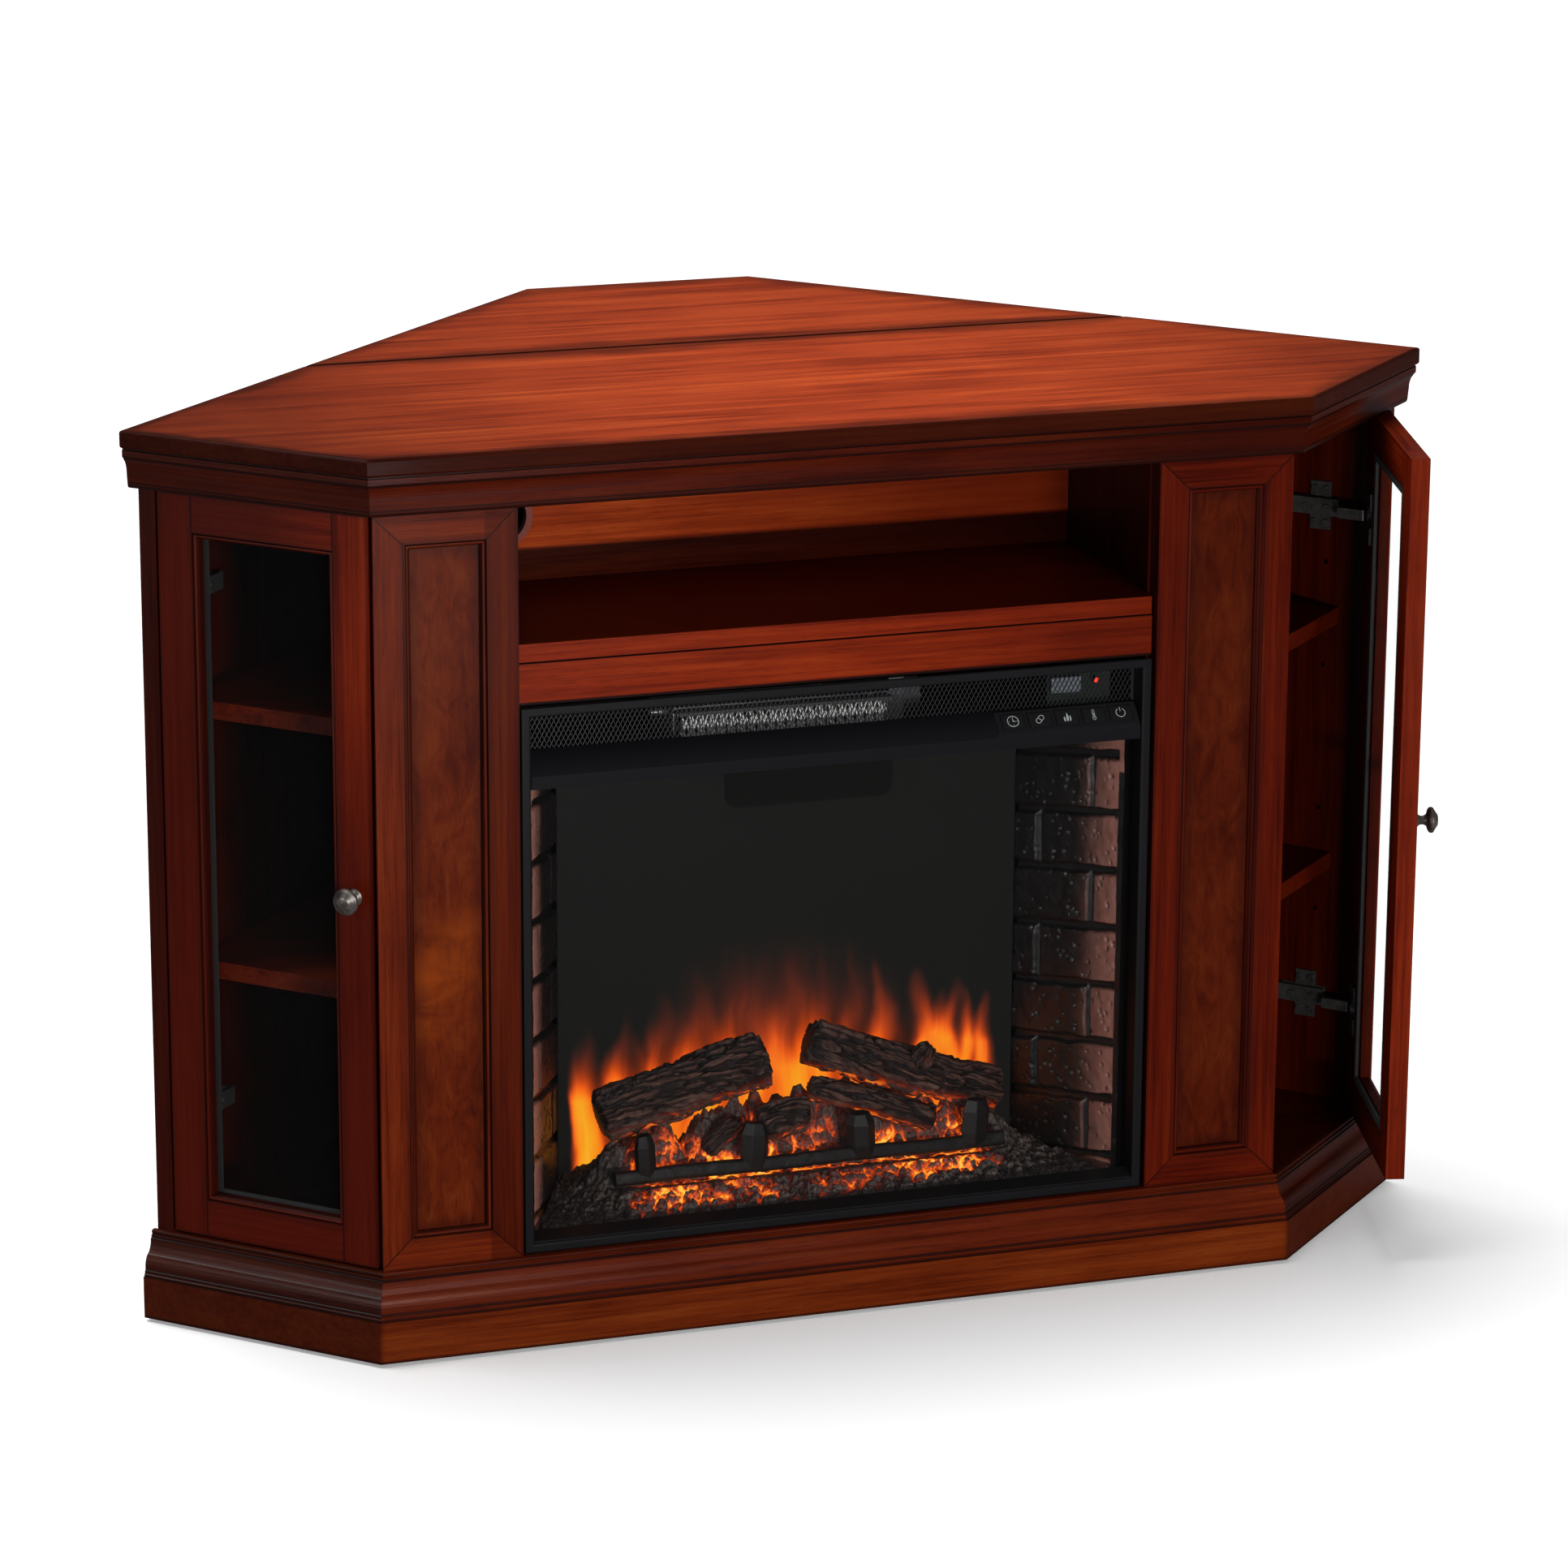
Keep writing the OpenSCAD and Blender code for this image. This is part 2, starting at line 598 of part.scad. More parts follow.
// Appliance inlet in the case's rear wall: a rim, a cavity and three contact blades
module power_inlet() {
    color("black") translate([inlet_x, case_y1, inlet_z]) {
        difference() {
            union() {
                translate([-inlet_w / 2, -sheet - 14, -inlet_h / 2]) cube([inlet_w, sheet + 14, inlet_h]);
                translate([-inlet_w / 2 - 4, 0, -inlet_h / 2 - 3]) cube([inlet_w + 8, 2, inlet_h + 6]);
            }
            translate([-inlet_w / 2 + 2, -sheet - 12, -inlet_h / 2 + 2])
                cube([inlet_w - 4, sheet + 15, inlet_h - 4]);
        }
        for (p = [[-7, -1], [0, 4], [7, -1]]) translate([p[0] - 1, -sheet - 13, p[1] - 2.5]) cube([2, 12, 5]);
    }
}

// ---------------------------------------------------------------- outlet and controls
mesh_y = fire_y + 21.5;
mesh_z0 = 535;
mesh_z1 = fire_z1 - trim_w - 0.3;
mesh_half = fire_half - trim_w - 0.4;
slot_pitch = 8;
// Expanded metal: three rows of slanted openings
module mesh_grille() {
    rows = 3;
    rim = 4;
    web = 1.6;
    row_h = (mesh_z1 - mesh_z0 - 2 * rim + web) / rows;
    count = floor((2 * (mesh_half - rim) - 8) / slot_pitch);
    color("black") slab_xz(mesh_y, mesh_y + 1.2) difference() {
        translate([-mesh_half, mesh_z0]) square([2 * mesh_half, mesh_z1 - mesh_z0]);
        for (r = [0:rows - 1], k = [0:count - 1])
            translate([(k - count / 2) * slot_pitch, mesh_z0 + rim + r * row_h])
                polygon([[0, 0], [slot_pitch - web, 0], [slot_pitch - web + 5, row_h - web], [5, row_h - web]]);
    }
}
bar_y0 = fire_y + 2;
bar_y1 = mesh_y - 0.3;
bar_z1 = 541;
bar_lip = 521.5;
bar_bulge = 1.8;
bar_t = 1.5;
bar_half = fire_half - trim_w - 0.6;
bar_len = norm([bar_y1 - bar_y0, bar_z1 - bar_lip]);
bar_slope = atan2(bar_z1 - bar_lip, bar_y1 - bar_y0);
// Outer line of the bar from the mesh to the lip, bulging in a shallow curve, moved in by d
function bar_line(d) = [for (i = [0:8]) let (t = i / 8, bulge = 4 * bar_bulge * t * (1 - t) - d)
    [min(bar_y1, bar_y1 + (bar_y0 - bar_y1) * t - bulge * sin(bar_slope)),
     bar_z1 + (bar_lip - bar_z1) * t + bulge * cos(bar_slope)]];
function backwards(list) = [for (i = [len(list) - 1:-1:0]) list[i]];
// X along the bar, Y up its slope from the lip, Z out of its face
module on_bar() { translate([0, bar_y0, bar_lip]) rotate([bar_slope, 0, 0]) children(); }
pad_x = 214.5;
pad_top = 2.4;
key_w = 21.5;
key_h = 15;
key_fit = 0.4;
key_y = bar_len / 2;
key_xs = [for (k = [-2:2]) pad_x + k * key_pitch];
board_drop = 5.6;
module control_bar() {
    pad_half = 2.5 * key_pitch + 3;
    color("black") {
        difference() {
            union() {
                slab_yz(-bar_half, bar_half) polygon(concat(bar_line(0), [[bar_y0, chamber_z - 2],
                    [bar_y0 + bar_t, chamber_z - 2], [bar_y0 + bar_t, bar_lip - 1]], backwards(bar_line(bar_t))));
                for (x = [-bar_half, bar_half - bar_t]) slab_yz(x, x + bar_t) polygon(concat(bar_line(0),
                    [[bar_y0, chamber_z - 2], [bar_y1, chamber_z - 2]]));
                on_bar() translate([pad_x - pad_half, 3, -1]) cube([2 * pad_half, bar_len - 6, 1 + pad_top]);
            }
            on_bar() for (x = key_xs) translate([x - key_w / 2 - key_fit, key_y - key_h / 2 - key_fit, -5])
                cube([key_w + 2 * key_fit, key_h + 2 * key_fit, 20]);
            // Room for the flanges of the keys
            on_bar() translate([key_xs[0] - key_w / 2 - 3, key_y - key_h / 2 - 2.5, -6])
                cube([4 * key_pitch + key_w + 6, key_h + 5, 5.5]);
        }
        // Posts that carry the switch board
        on_bar() for (s = [-1, 1]) translate([pad_x + s * (pad_half - 0.6) - 1.2, key_y - 2, -board_drop])
            cube([2.4, 4, board_drop]);
    }
}
module switch_board() {
    x0 = pad_x - 2.5 * key_pitch - 8;
    color("darkgreen") on_bar() translate([x0, key_y - 9, -board_drop - 1.5])
        cube([bar_half - bar_t - 0.3 - x0, 18, 1.5]);
}
// A key: a bevelled cap, a flange that keeps it in the bar and a plunger over its switch
module key_cap(k) {
    color("black") on_bar() translate([key_xs[k], key_y, 0]) {
        translate([-key_w / 2, -key_h / 2, -0.8]) cube([key_w, key_h, 3.4]);
        translate([-key_w / 2 + 0.8, -key_h / 2 + 0.8, 2.6]) cube([key_w - 1.6, key_h - 1.6, 0.6]);
        translate([-key_w / 2 - 1.2, -key_h / 2 - 1.2, -1.8]) cube([key_w + 2.4, key_h + 2.4, 1]);
        translate([0, 0, -4.4]) cylinder(r = 2, h = 2.6);
    }
}
module timer_button() { key_cap(0); }
module dimmer_button() { key_cap(1); }
module flame_button() { key_cap(2); }
module heat_button() { key_cap(3); }
module power_button() { key_cap(4); }

// Display, red indicator and the strip of lamps that lights the flames
module light_boards() {
    board_y = mesh_y + 12;
    color("gray") {
        translate([204, board_y, chamber_z]) cube([60, 1.6, 62]);
        translate([206, board_y - 6, 551]) cube([28, 6, 14]);
        translate([-180, case_y1 - sheet - 6, hearth_z]) cube([360, 5.9, 12]);
    }
    color("red") along_y(248, board_y - 8, 561) cylinder(r = 2.5, h = 8);
}

// ---------------------------------------------------------------- heater and blower
blower_x0 = -140;
blower_x1 = 60;
coil_y = mesh_y + 18;
wheel_y = coil_y + 62;
wheel_z = 542;
wheel_r = 20;
shaft_r = 2.5;
running_fit = 0.05;
// Resistance wire strung in loops between two mica bars
module heater_element() {
    loops = 24;
    span = blower_x1 - blower_x0 - 12;
    color("silver") {
        for (dz = [-15, 12]) translate([blower_x0, coil_y, wheel_z + dz]) cube([blower_x1 - blower_x0, 10, 3]);
        for (k = [0:loops]) translate([blower_x0 + 6 + k * span / loops, coil_y + 5, wheel_z - 12])
            cylinder(r = 1.1, h = 24, $fn = 8);
        // Legs down to the shelf of the chamber
        for (x = [blower_x0, blower_x1 - 4]) translate([x, coil_y, chamber_z]) cube([4, 10, wheel_z - 15 - chamber_z]);
    }
}
// Scroll housing, open towards the heater and over its rear for the air inlet
module blower_housing() {
    length = blower_x1 - blower_x0;
    wall = 1.5;
    r = wheel_r + 5;
    color("silver") difference() {
        union() {
            along_x(blower_x0, wheel_y, wheel_z) cylinder(r = r, h = length);
            translate([blower_x0, coil_y + 12, wheel_z - 17]) cube([length, wheel_y - coil_y - 12, 34]);
            translate([blower_x0, wheel_y - 12, chamber_z]) cube([length, 24, wheel_z - chamber_z - 12]);
        }
        along_x(blower_x0 + wall, wheel_y, wheel_z) cylinder(r = r - wall, h = length - 2 * wall);
        translate([blower_x0 + wall, coil_y + 12 - over, wheel_z - 17 + wall])
            cube([length - 2 * wall, wheel_y - coil_y - 12 + over, 34 - 2 * wall]);
        along_x(blower_x0 - over, wheel_y, wheel_z) cylinder(r = shaft_r + running_fit, h = length + 2 * over);
        translate([blower_x0 + 8, wheel_y + 8, wheel_z + 4]) cube([length - 16, r, r]);
    }
}
// Tangential wheel: end discs and a middle disc, a ring of slats and the shaft
module blower_wheel() {
    x0 = blower_x0 + 5;
    x1 = blower_x1 - 5;
    color("lightgray") {
        for (x = [x0, (x0 + x1) / 2, x1 - 2]) along_x(x, wheel_y, wheel_z) cylinder(r = wheel_r, h = 2);
        for (k = [0:17]) along_x(x0 + over, wheel_y, wheel_z) rotate([0, 0, k * 20])
            translate([wheel_r - 4, 0, 0]) rotate([0, 0, 30]) translate([-2.5, -0.4, 0])
                cube([5, 0.8, x1 - x0 - 2 * over]);
        along_x(blower_x0 - 6, wheel_y, wheel_z) cylinder(r = shaft_r, h = blower_x1 - blower_x0 + 30);
    }
}
spindle_y = case_y1 - 26;
spindle_z = hearth_z + 32;
spindle_half = 200;
spindle_r = 2;
// The blower's motor, and the motor and bearing of the flame spindle
module drive_motors() {
    color("gray") {
        difference() {
            union() {
                along_x(blower_x1 + 8, wheel_y, wheel_z) cylinder(r = 17, h = 34);
                translate([blower_x1 + 10, wheel_y - 22, chamber_z]) cube([14, 44, 52]);
            }
            along_x(blower_x1 + 8 - over, wheel_y, wheel_z) cylinder(r = shaft_r + running_fit, h = 26);
        }
        for (x = [-spindle_half - 2, spindle_half]) difference() {
            translate([x, spindle_y - 14, hearth_z]) cube([2, 28, 48]);
            along_x(x - over, spindle_y, spindle_z) cylinder(r = spindle_r + running_fit, h = 2 + 2 * over);
        }
        difference() {
            along_x(spindle_half + 2, spindle_y, spindle_z) cylinder(r = 15, h = 20);
            along_x(spindle_half + 2 - over, spindle_y, spindle_z) cylinder(r = spindle_r + running_fit, h = 13);
        }
    }
}
// Bright flags on a slow shaft throw moving light on the screen
module flame_spindle() {
    flags = 14;
    color("silver") {
        along_x(-spindle_half - 4, spindle_y, spindle_z) cylinder(r = spindle_r, h = 2 * spindle_half + 16);
        for (k = [0:flags - 1]) along_x(-spindle_half + 16 + k * 27, spindle_y, spindle_z)
            rotate([0, 0, k * 47]) translate([1, -0.4, 0]) cube([14, 0.8, 18]);
    }
}

// ---------------------------------------------------------------- fire
brick_t = 9;
brick_y = fire_y + 26;
screen_y = fire_y + 151;
brick_x0 = 277;
brick_x1 = 219.5;
brick_len = norm([brick_x0 - brick_x1, screen_y - brick_y]);
joint_z = 480;
joint_w = 6.5;
joint_depth = 3;
// Brick panels in running bond, splayed towards the screen
module brick_panels() {
    count = floor((joint_z - hearth_z) / course_h);
    color("rosybrown") both_sides() translate([brick_x0, brick_y, 0])
        rotate([0, 0, atan2(screen_y - brick_y, brick_x1 - brick_x0)]) mirror([0, 1, 0])
        difference() {
            translate([0, 0, hearth_z]) cube([brick_len, brick_t, chamber_z0 - hearth_z]);
            for (k = [0:count]) translate([0, -over, joint_z - k * course_h - joint_w / 2]) {
                translate([9, 0, 0]) cube([brick_len, joint_depth + over, joint_w]);
                translate([k % 2 == 0 ? 30 : 104, 0, joint_w / 2])
                    cube([joint_w, joint_depth + over, course_h - joint_w / 2]);
            }
        }
}
module flame_screen() {
    color("black") translate([-brick_x1, screen_y + 0.5, hearth_z])
        cube([2 * brick_x1, 3, chamber_z0 - hearth_z]);
}
module firebox_glass() {
    z0 = fire_z0 + trim_w + 0.2;
    color("lightblue", 0.3) translate([-bar_half, case_y0 - 3.5, z0]) cube([2 * bar_half, 3, chamber_z0 - z0 - 2]);
}
// Hanging plate that hides the top of the flames, with rounded lower corners
module baffle_plate() {
    half = 78.5;
    z0 = 457;
    r = 12;
    color("black") translate([-8, fire_y + 68, 0]) slab_xz(0, 1.5) {
        translate([-half, z0 + r]) square([2 * half, chamber_z0 - z0 - r]);
        translate([-half + r, z0]) square([2 * (half - r), r + over]);
        for (s = [-1, 1]) translate([s * (half - r), z0 + r]) circle(r = r);
    }
}

// Logs, each given by the centres and radii of its two ends
big_logs = [[[-175, 130, 163], [-38, 139, 191], 25, 24],
            [[15, 146, 201], [189, 133, 141], 20, 22]];
twigs = [[[4, 121, 174], [121, 121, 132], 10, 11],
         [[-20, 113, 174], [-21, 114, 126], 9, 10],
         [[-100, 110, 124], [-68, 114, 150], 8, 7]];
function at_fire(p) = [p[0], p[1] + front_y, p[2]];
function bark(s, a, k) = 0.035 * sin(3 * a + 4 * s + 90 * k) + 0.02 * sin(7 * a - 3 * s) + 0.012 * sin(11 * a + 14 * s);
// A tapering log with ridged bark and sawn ends
module bark_log(log, k, rings, sides) {
    p = at_fire(log[0]);
    q = at_fire(log[1]);
    axis = (q - p) / norm(q - p);
    across = cross(axis, [0, 0.3, 0.95]) / norm(cross(axis, [0, 0.3, 0.95]));
    up = cross(across, axis);
    points = [for (i = [0:rings], j = [0:sides - 1]) let (t = i / rings, a = 360 * j / sides,
        r = (log[2] + (log[3] - log[2]) * t) * (1 + bark(t * norm(q - p), a, k)))
        p + (q - p) * t + r * (cos(a) * across + sin(a) * up)];
    sheath = [for (i = [0:rings - 1], j = [0:sides - 1], half = [0, 1])
        let (a = i * sides + j, b = i * sides + (j + 1) % sides)
        half == 0 ? [a, b, a + sides] : [b, b + sides, a + sides]];
    polyhedron(points, concat(sheath, [[for (j = [sides - 1:-1:0]) j]],
                              [[for (j = [0:sides - 1]) rings * sides + j]]));
}
module split_logs() { color("saddlebrown") for (k = [0, 1]) bark_log(big_logs[k], k, 14, 18); }
module small_logs() { color("saddlebrown") for (k = [0:2]) bark_log(twigs[k], k + 2, 7, 10); }

// Height of a log's underside over a point of the plan, far up where there is no log
far_up = 999;
// Widest part of the bark beside its log's radius
bed_clear = 1.04;
function under_log(x, y, log) =
    let (p = at_fire(log[0]), q = at_fire(log[1]), d = [q[0] - p[0], q[1] - p[1]],
         t = max(0, min(1, ([x - p[0], y - p[1]] * d) / max(1, d * d))),
         r = bed_clear * max(log[2], log[3]) + 2, off = norm([x, y] - [p[0], p[1]] - d * t))
    off >= r ? far_up : p[2] + (q[2] - p[2]) * t - sqrt(r * r - off * off);
grate_y = front_y + 100;
grate_z = 104;
grate_half = 184;
function under_grate(x, y) = abs(x) < grate_half + 8 && abs(y - grate_y) < 13 ? grate_z - 0.1 : far_up;
// Heap of embers: rises to the back, piled up where the logs rest, with lumps of summed waves
piles = [[-150, 130, 34], [-60, 136, 46], [45, 143, 60], [165, 135, 26], [100, 118, 18], [-20, 114, 18]];
function lumps(x, y) = 1.8 * sin(9 * x) * sin(11 * y) + 1.2 * sin(17 * x + 40) * sin(15 * y - 30);
function heap(x, y, u, v) = hearth_z + 5 + 8 * v + 22 * sqrt(v) * (1 - pow(abs(u), 4)) + lumps(x, y)
    + max([for (p = piles) p[2] * exp(-(pow(x - p[0], 2) + pow(y - front_y - p[1], 2)) / 500)]);
function bed_z(x, y, u, v) = min(concat([heap(x, y, u, v), under_grate(x, y)],
    [for (log = concat(big_logs, twigs)) under_log(x, y, log)]));
module ember_bed() {
    nx = 44;
    ny = 12;
    depth = screen_y - brick_y;
    grid = [for (j = [0:ny], i = [0:nx]) let (v = j / ny, u = 2 * i / nx - 1,
        x = u * (brick_x0 - 0.5 + (brick_x1 - brick_x0) * v), y = brick_y + depth * v)
        [x, y, bed_z(x, y, u, v)]];
    w = nx + 1;
    base = len(grid);
    cells = [for (j = [0:ny - 1], i = [0:nx - 1], half = [0, 1]) let (a = j * w + i)
        half == 0 ? [a, a + w, a + 1] : [a + 1, a + w, a + w + 1]];
    under = [for (t = cells) [t[0] + base, t[2] + base, t[1] + base]];
    // The rim of the grid, clockwise from above, and the wall below it
    rim = concat([for (i = [0:nx]) i], [for (j = [1:ny]) j * w + nx],
                 [for (i = [nx - 1:-1:0]) ny * w + i], [for (j = [ny - 1:-1:1]) j * w]);
    wall = [for (k = [0:len(rim) - 1], half = [0, 1]) let (a = rim[k], b = rim[(k + 1) % len(rim)])
        half == 0 ? [a, b, a + base] : [b, b + base, a + base]];
    color("darkorange") polyhedron(concat(grid, [for (p = grid) [p[0], p[1], hearth_z]]),
                                   concat(cells, under, wall));
}
// Bar with four faceted pegs that keeps the logs back
module grate() {
    peg_r = 9;
    color("black") {
        translate([-grate_half, grate_y - 6, grate_z]) cube([2 * grate_half, 12, 16]);
        for (x = [-156, -52, 52, 156]) translate([x, grate_y, grate_z + 15]) {
            cylinder(r = peg_r, h = 20, $fn = 6);
            translate([0, 0, 20]) cylinder(r1 = peg_r, r2 = peg_r - 3, h = 7, $fn = 6);
        }
    }
}

top_panel();
top_extension();
extension_brackets();
crown_front();
crown_returns();
base_cap_front();
base_cap_returns();
plinth_boards();
base_frame();
glides();
left_column();
right_column();
column_panels();
wall_side_panels();
dividers();
bottom_panel();
carcase_rails();
rear_panel();
media_shelf();
apron_rail();
bay_back();
adjustable_shelves();
shelf_pins();
left_door_frame();
left_door_glass();
left_door_gasket();
left_door_knob();
left_hinge_cups();
right_door_frame();
right_door_glass();
right_door_gasket();
right_door_knob();
right_hinge_cups();
hinge_arms();
firebox_case();
trim_frame();
mesh_grille();
control_bar();
timer_button();
dimmer_button();
flame_button();
heat_button();
power_button();
switch_board();
light_boards();
heater_element();
blower_housing();
blower_wheel();
drive_motors();
firebox_glass();
brick_panels();
flame_screen();
baffle_plate();
ember_bed();
split_logs();
small_logs();
grate();
flame_spindle();
power_inlet();
cable_bushes();
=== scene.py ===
"""Looks of the corner fireplace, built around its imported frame.

All sizes are in metres, in the frame's own axes: +X to the viewer's right, +Z up, the front
faces -Y and the origin is on the floor.
"""
import math

import bpy
import numpy as np
from bpy.props import FloatProperty, FloatVectorProperty, IntProperty, PointerProperty
from mathutils import Matrix, Vector


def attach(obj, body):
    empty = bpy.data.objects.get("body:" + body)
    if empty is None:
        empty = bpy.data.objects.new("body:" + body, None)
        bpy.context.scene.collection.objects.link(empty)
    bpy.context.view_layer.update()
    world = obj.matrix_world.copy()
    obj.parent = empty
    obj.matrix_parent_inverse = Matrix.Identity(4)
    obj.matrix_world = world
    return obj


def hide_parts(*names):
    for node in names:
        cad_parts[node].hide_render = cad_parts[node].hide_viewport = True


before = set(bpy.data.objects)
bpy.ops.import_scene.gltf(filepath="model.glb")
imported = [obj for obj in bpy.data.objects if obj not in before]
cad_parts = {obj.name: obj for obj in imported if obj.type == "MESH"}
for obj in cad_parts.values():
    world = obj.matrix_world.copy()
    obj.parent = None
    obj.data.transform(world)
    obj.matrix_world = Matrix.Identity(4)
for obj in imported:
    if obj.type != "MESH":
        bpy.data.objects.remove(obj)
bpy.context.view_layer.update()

bl_info = {
    "name": "Corner fireplace finishes",
    "version": (1, 0, 0),
    "blender": (4, 5, 0),
    "location": "View3D > Sidebar > Fireplace",
    "description": "Finishes and fine pieces of a corner fireplace around its frame",
    "category": "Object",
}

MM = 0.001

# Plan of the cabinet, as the solids have it
FRONT_Y, SEAM_Y, REAR_Y = -0.190, 0.190, 0.475
TOP_FRONT_HALF, TOP_HALF, TOP_WALL_Y = 0.430, 0.6075, -0.020
SIDE_COS, SIDE_SIN = 0.722199, 0.691684
SIDE_DIR = np.array([-SIDE_COS, SIDE_SIN])
SIDE_IN = np.array([SIDE_SIN, SIDE_COS])
BODY_CORNER = np.array([-0.421566, -0.169])
HINGE_X, RIGHT_OPEN = 0.215635, math.radians(33)
FLOOR_Z, CROWN_Z, TOP_Z, TOP_EDGE_Z = 0.082, 0.766, 0.803, 0.8165
# Frames as left, right, lowest and highest edge, and the width of their stiles
COLUMN, COLUMN_STILE = (0.294, 0.4235, FLOOR_Z, CROWN_Z), 0.028
DOOR, DOOR_STILE = (0.005885, 0.214385, 0.084, 0.764), 0.034
PANEL = (0.322, 0.3935, 0.110, 0.738)
SHELF_FRONT_Y = -0.160
# Firebox
MESH_Y, MESH_Z0, MESH_Z1, MESH_HALF = -0.1445, 0.535, 0.5752, 0.2826
BAR_Y, BAR_Z, BAR_SLOPE, BAR_MID = -0.164, 0.5215, math.radians(45.444), 0.013683
KEY_X = (0.1633, 0.1889, 0.2145, 0.2401, 0.2657)
KEY_TOP = 0.0032
LAMP_AT, DISPLAY_AT, DISPLAY_HALF = (0.248, 0.561), (0.220, 0.558), (0.0140, 0.0070)
BRICK_FRONT, BRICK_REAR = (0.277, -0.140), (0.2195, -0.015)
HEARTH_Z, CHAMBER_Z = 0.0837, 0.5108
COURSE_H, JOINT_Z, JOINT_W, JOINT_FALL = 0.0549, 0.488, 0.0065, 0.18
CROSS_S = (0.041, 0.107)
GRATE_Y, GRATE_Z = -0.0905, 0.1145
# Range of brightness that the flame screen's logarithm covers
DARKEST, BRIGHTEST = 0.005, 6.0
# Camera: the photograph's side and focal length in pixels, and where it stood
PHOTO_PX, FOCAL_PX, SHIFT_PX = 1932, 6763.99, -150
CAMERA_AT, CAMERA_TURN = (-1.46607, -4.56927, 1.87351), (-17.78, -15.31, 0.30)


# ------------------------------------------------------------------ numbers and noise
def smooth(x, lo, hi):
    """0 below lo, 1 above hi, and a smooth cubic between them."""
    t = np.clip((x - lo) / (hi - lo), 0, 1)
    return t * t * (3 - 2 * t)


def scatter(cell, seed):
    """A number from 0 to 1 for each whole-numbered cell, from mixing its integers."""
    h = cell[..., 0] * 374761393 + cell[..., 1] * 668265263 + cell[..., 2] * 2147483647 + seed * 144665
    h = (h ^ (h >> 13)) * 1274126177 & 0xFFFFFFFF
    h = (h ^ (h >> 16)) * 2246822519 & 0xFFFFFFFF
    return ((h ^ (h >> 15)) & 0xFFFFFF) / float(0xFFFFFF)


def waves(p, seed=0, octaves=3):
    """Sum of value noise: random numbers at whole points, blended smoothly between them."""
    p = np.asarray(p, float)
    total, size = np.zeros(p.shape[:-1]), 1.0
    for octave in range(octaves):
        base = np.floor(p).astype(np.int64)
        t = p - base
        t = t * t * (3 - 2 * t)
        value = np.zeros(p.shape[:-1])
        for corner in range(8):
            step = np.array([corner & 1, corner >> 1 & 1, corner >> 2])
            weight = np.prod(np.where(step, t, 1 - t), axis=-1)
            value += weight * scatter(base + step, seed + octave)
        total += size * (value * 2 - 1)
        size *= 0.5
        p = p * 2.03 + 17.1
    return total


def lumps(p, seed=0):
    """Distances to the nearest and the second nearest of random points, one in each cell."""
    base = np.floor(p).astype(np.int64)
    near = np.full(p.shape[:-1], 9.0)
    second = np.full(p.shape[:-1], 9.0)
    tone = np.zeros(p.shape[:-1])
    for k in range(27):
        cell = base + np.array([k % 3, k // 3 % 3, k // 9]) - 1
        point = cell + np.stack([scatter(cell, seed + s) for s in (11, 23, 37)], -1)
        away = np.linalg.norm(point - p, axis=-1)
        closer = away < near
        second = np.where(closer, near, np.minimum(second, away))
        tone = np.where(closer, scatter(cell, seed + 51), tone)
        near = np.minimum(near, away)
    return near, second, tone


# ------------------------------------------------------------------ meshes
def grid_part(points, close_u=False, close_v=False):
    """Quads over a grid of points, wrapped round in either direction."""
    nu, nv = points.shape[:2]
    index = np.arange(nu * nv).reshape(nu, nv)
    if close_u:
        index = np.concatenate([index, index[:1]])
    if close_v:
        index = np.concatenate([index, index[:, :1]], axis=1)
    quads = np.stack([index[:-1, :-1], index[1:, :-1], index[1:, 1:], index[:-1, 1:]], -1)
    return points.reshape(-1, 3), [quads.reshape(-1, 4)]


def lid(ring, centre, offset, flip):
    """A fan of triangles from a ring of indices to one centre point."""
    after = np.roll(ring, -1)
    fan = np.stack([ring, after, np.full(len(ring), offset)], -1)
    return centre[None], (fan[:, ::-1] if flip else fan)


def tube_part(path, radii, sides=8, profile=None):
    """A ring carried along a path, square to it, with both ends closed by fans. profile gives
    the ring's own radius factors as an array over path and angle."""
    path = np.asarray(path, float)
    tangent = np.gradient(path, axis=0)
    tangent /= np.linalg.norm(tangent, axis=1)[:, None]
    guide = np.array([0.0, 0.3, 0.95]) if abs(tangent[0, 2]) < 0.9 else np.array([1.0, 0, 0])
    across = np.cross(tangent, guide)
    across /= np.linalg.norm(across, axis=1)[:, None]
    up = np.cross(across, tangent)
    angle = np.linspace(0, 2 * np.pi, sides, endpoint=False)
    r = np.broadcast_to(np.asarray(radii, float).reshape(-1, 1), (len(path), 1)) * np.ones((1, sides))
    if profile is not None:
        r = r * profile
    ring = path[:, None] + r[..., None] * (np.cos(angle)[None, :, None] * across[:, None]
                                           + np.sin(angle)[None, :, None] * up[:, None])
    points, faces = grid_part(ring, close_v=True)
    n = len(points)
    first, fan0 = lid(np.arange(sides), ring[0].mean(0), n, False)
    last, fan1 = lid(np.arange(sides) + n - sides, ring[-1].mean(0), n + 1, True)
    return np.concatenate([points, first, last]), faces + [fan0, fan1]


def block_part(corners):
    """Six quads round eight corners: four below, anticlockwise, then four above."""
    quads = np.array([[3, 2, 1, 0], [4, 5, 6, 7], [0, 1, 5, 4], [1, 2, 6, 5], [2, 3, 7, 6], [3, 0, 4, 7]])
    return np.asarray(corners, float), [quads]


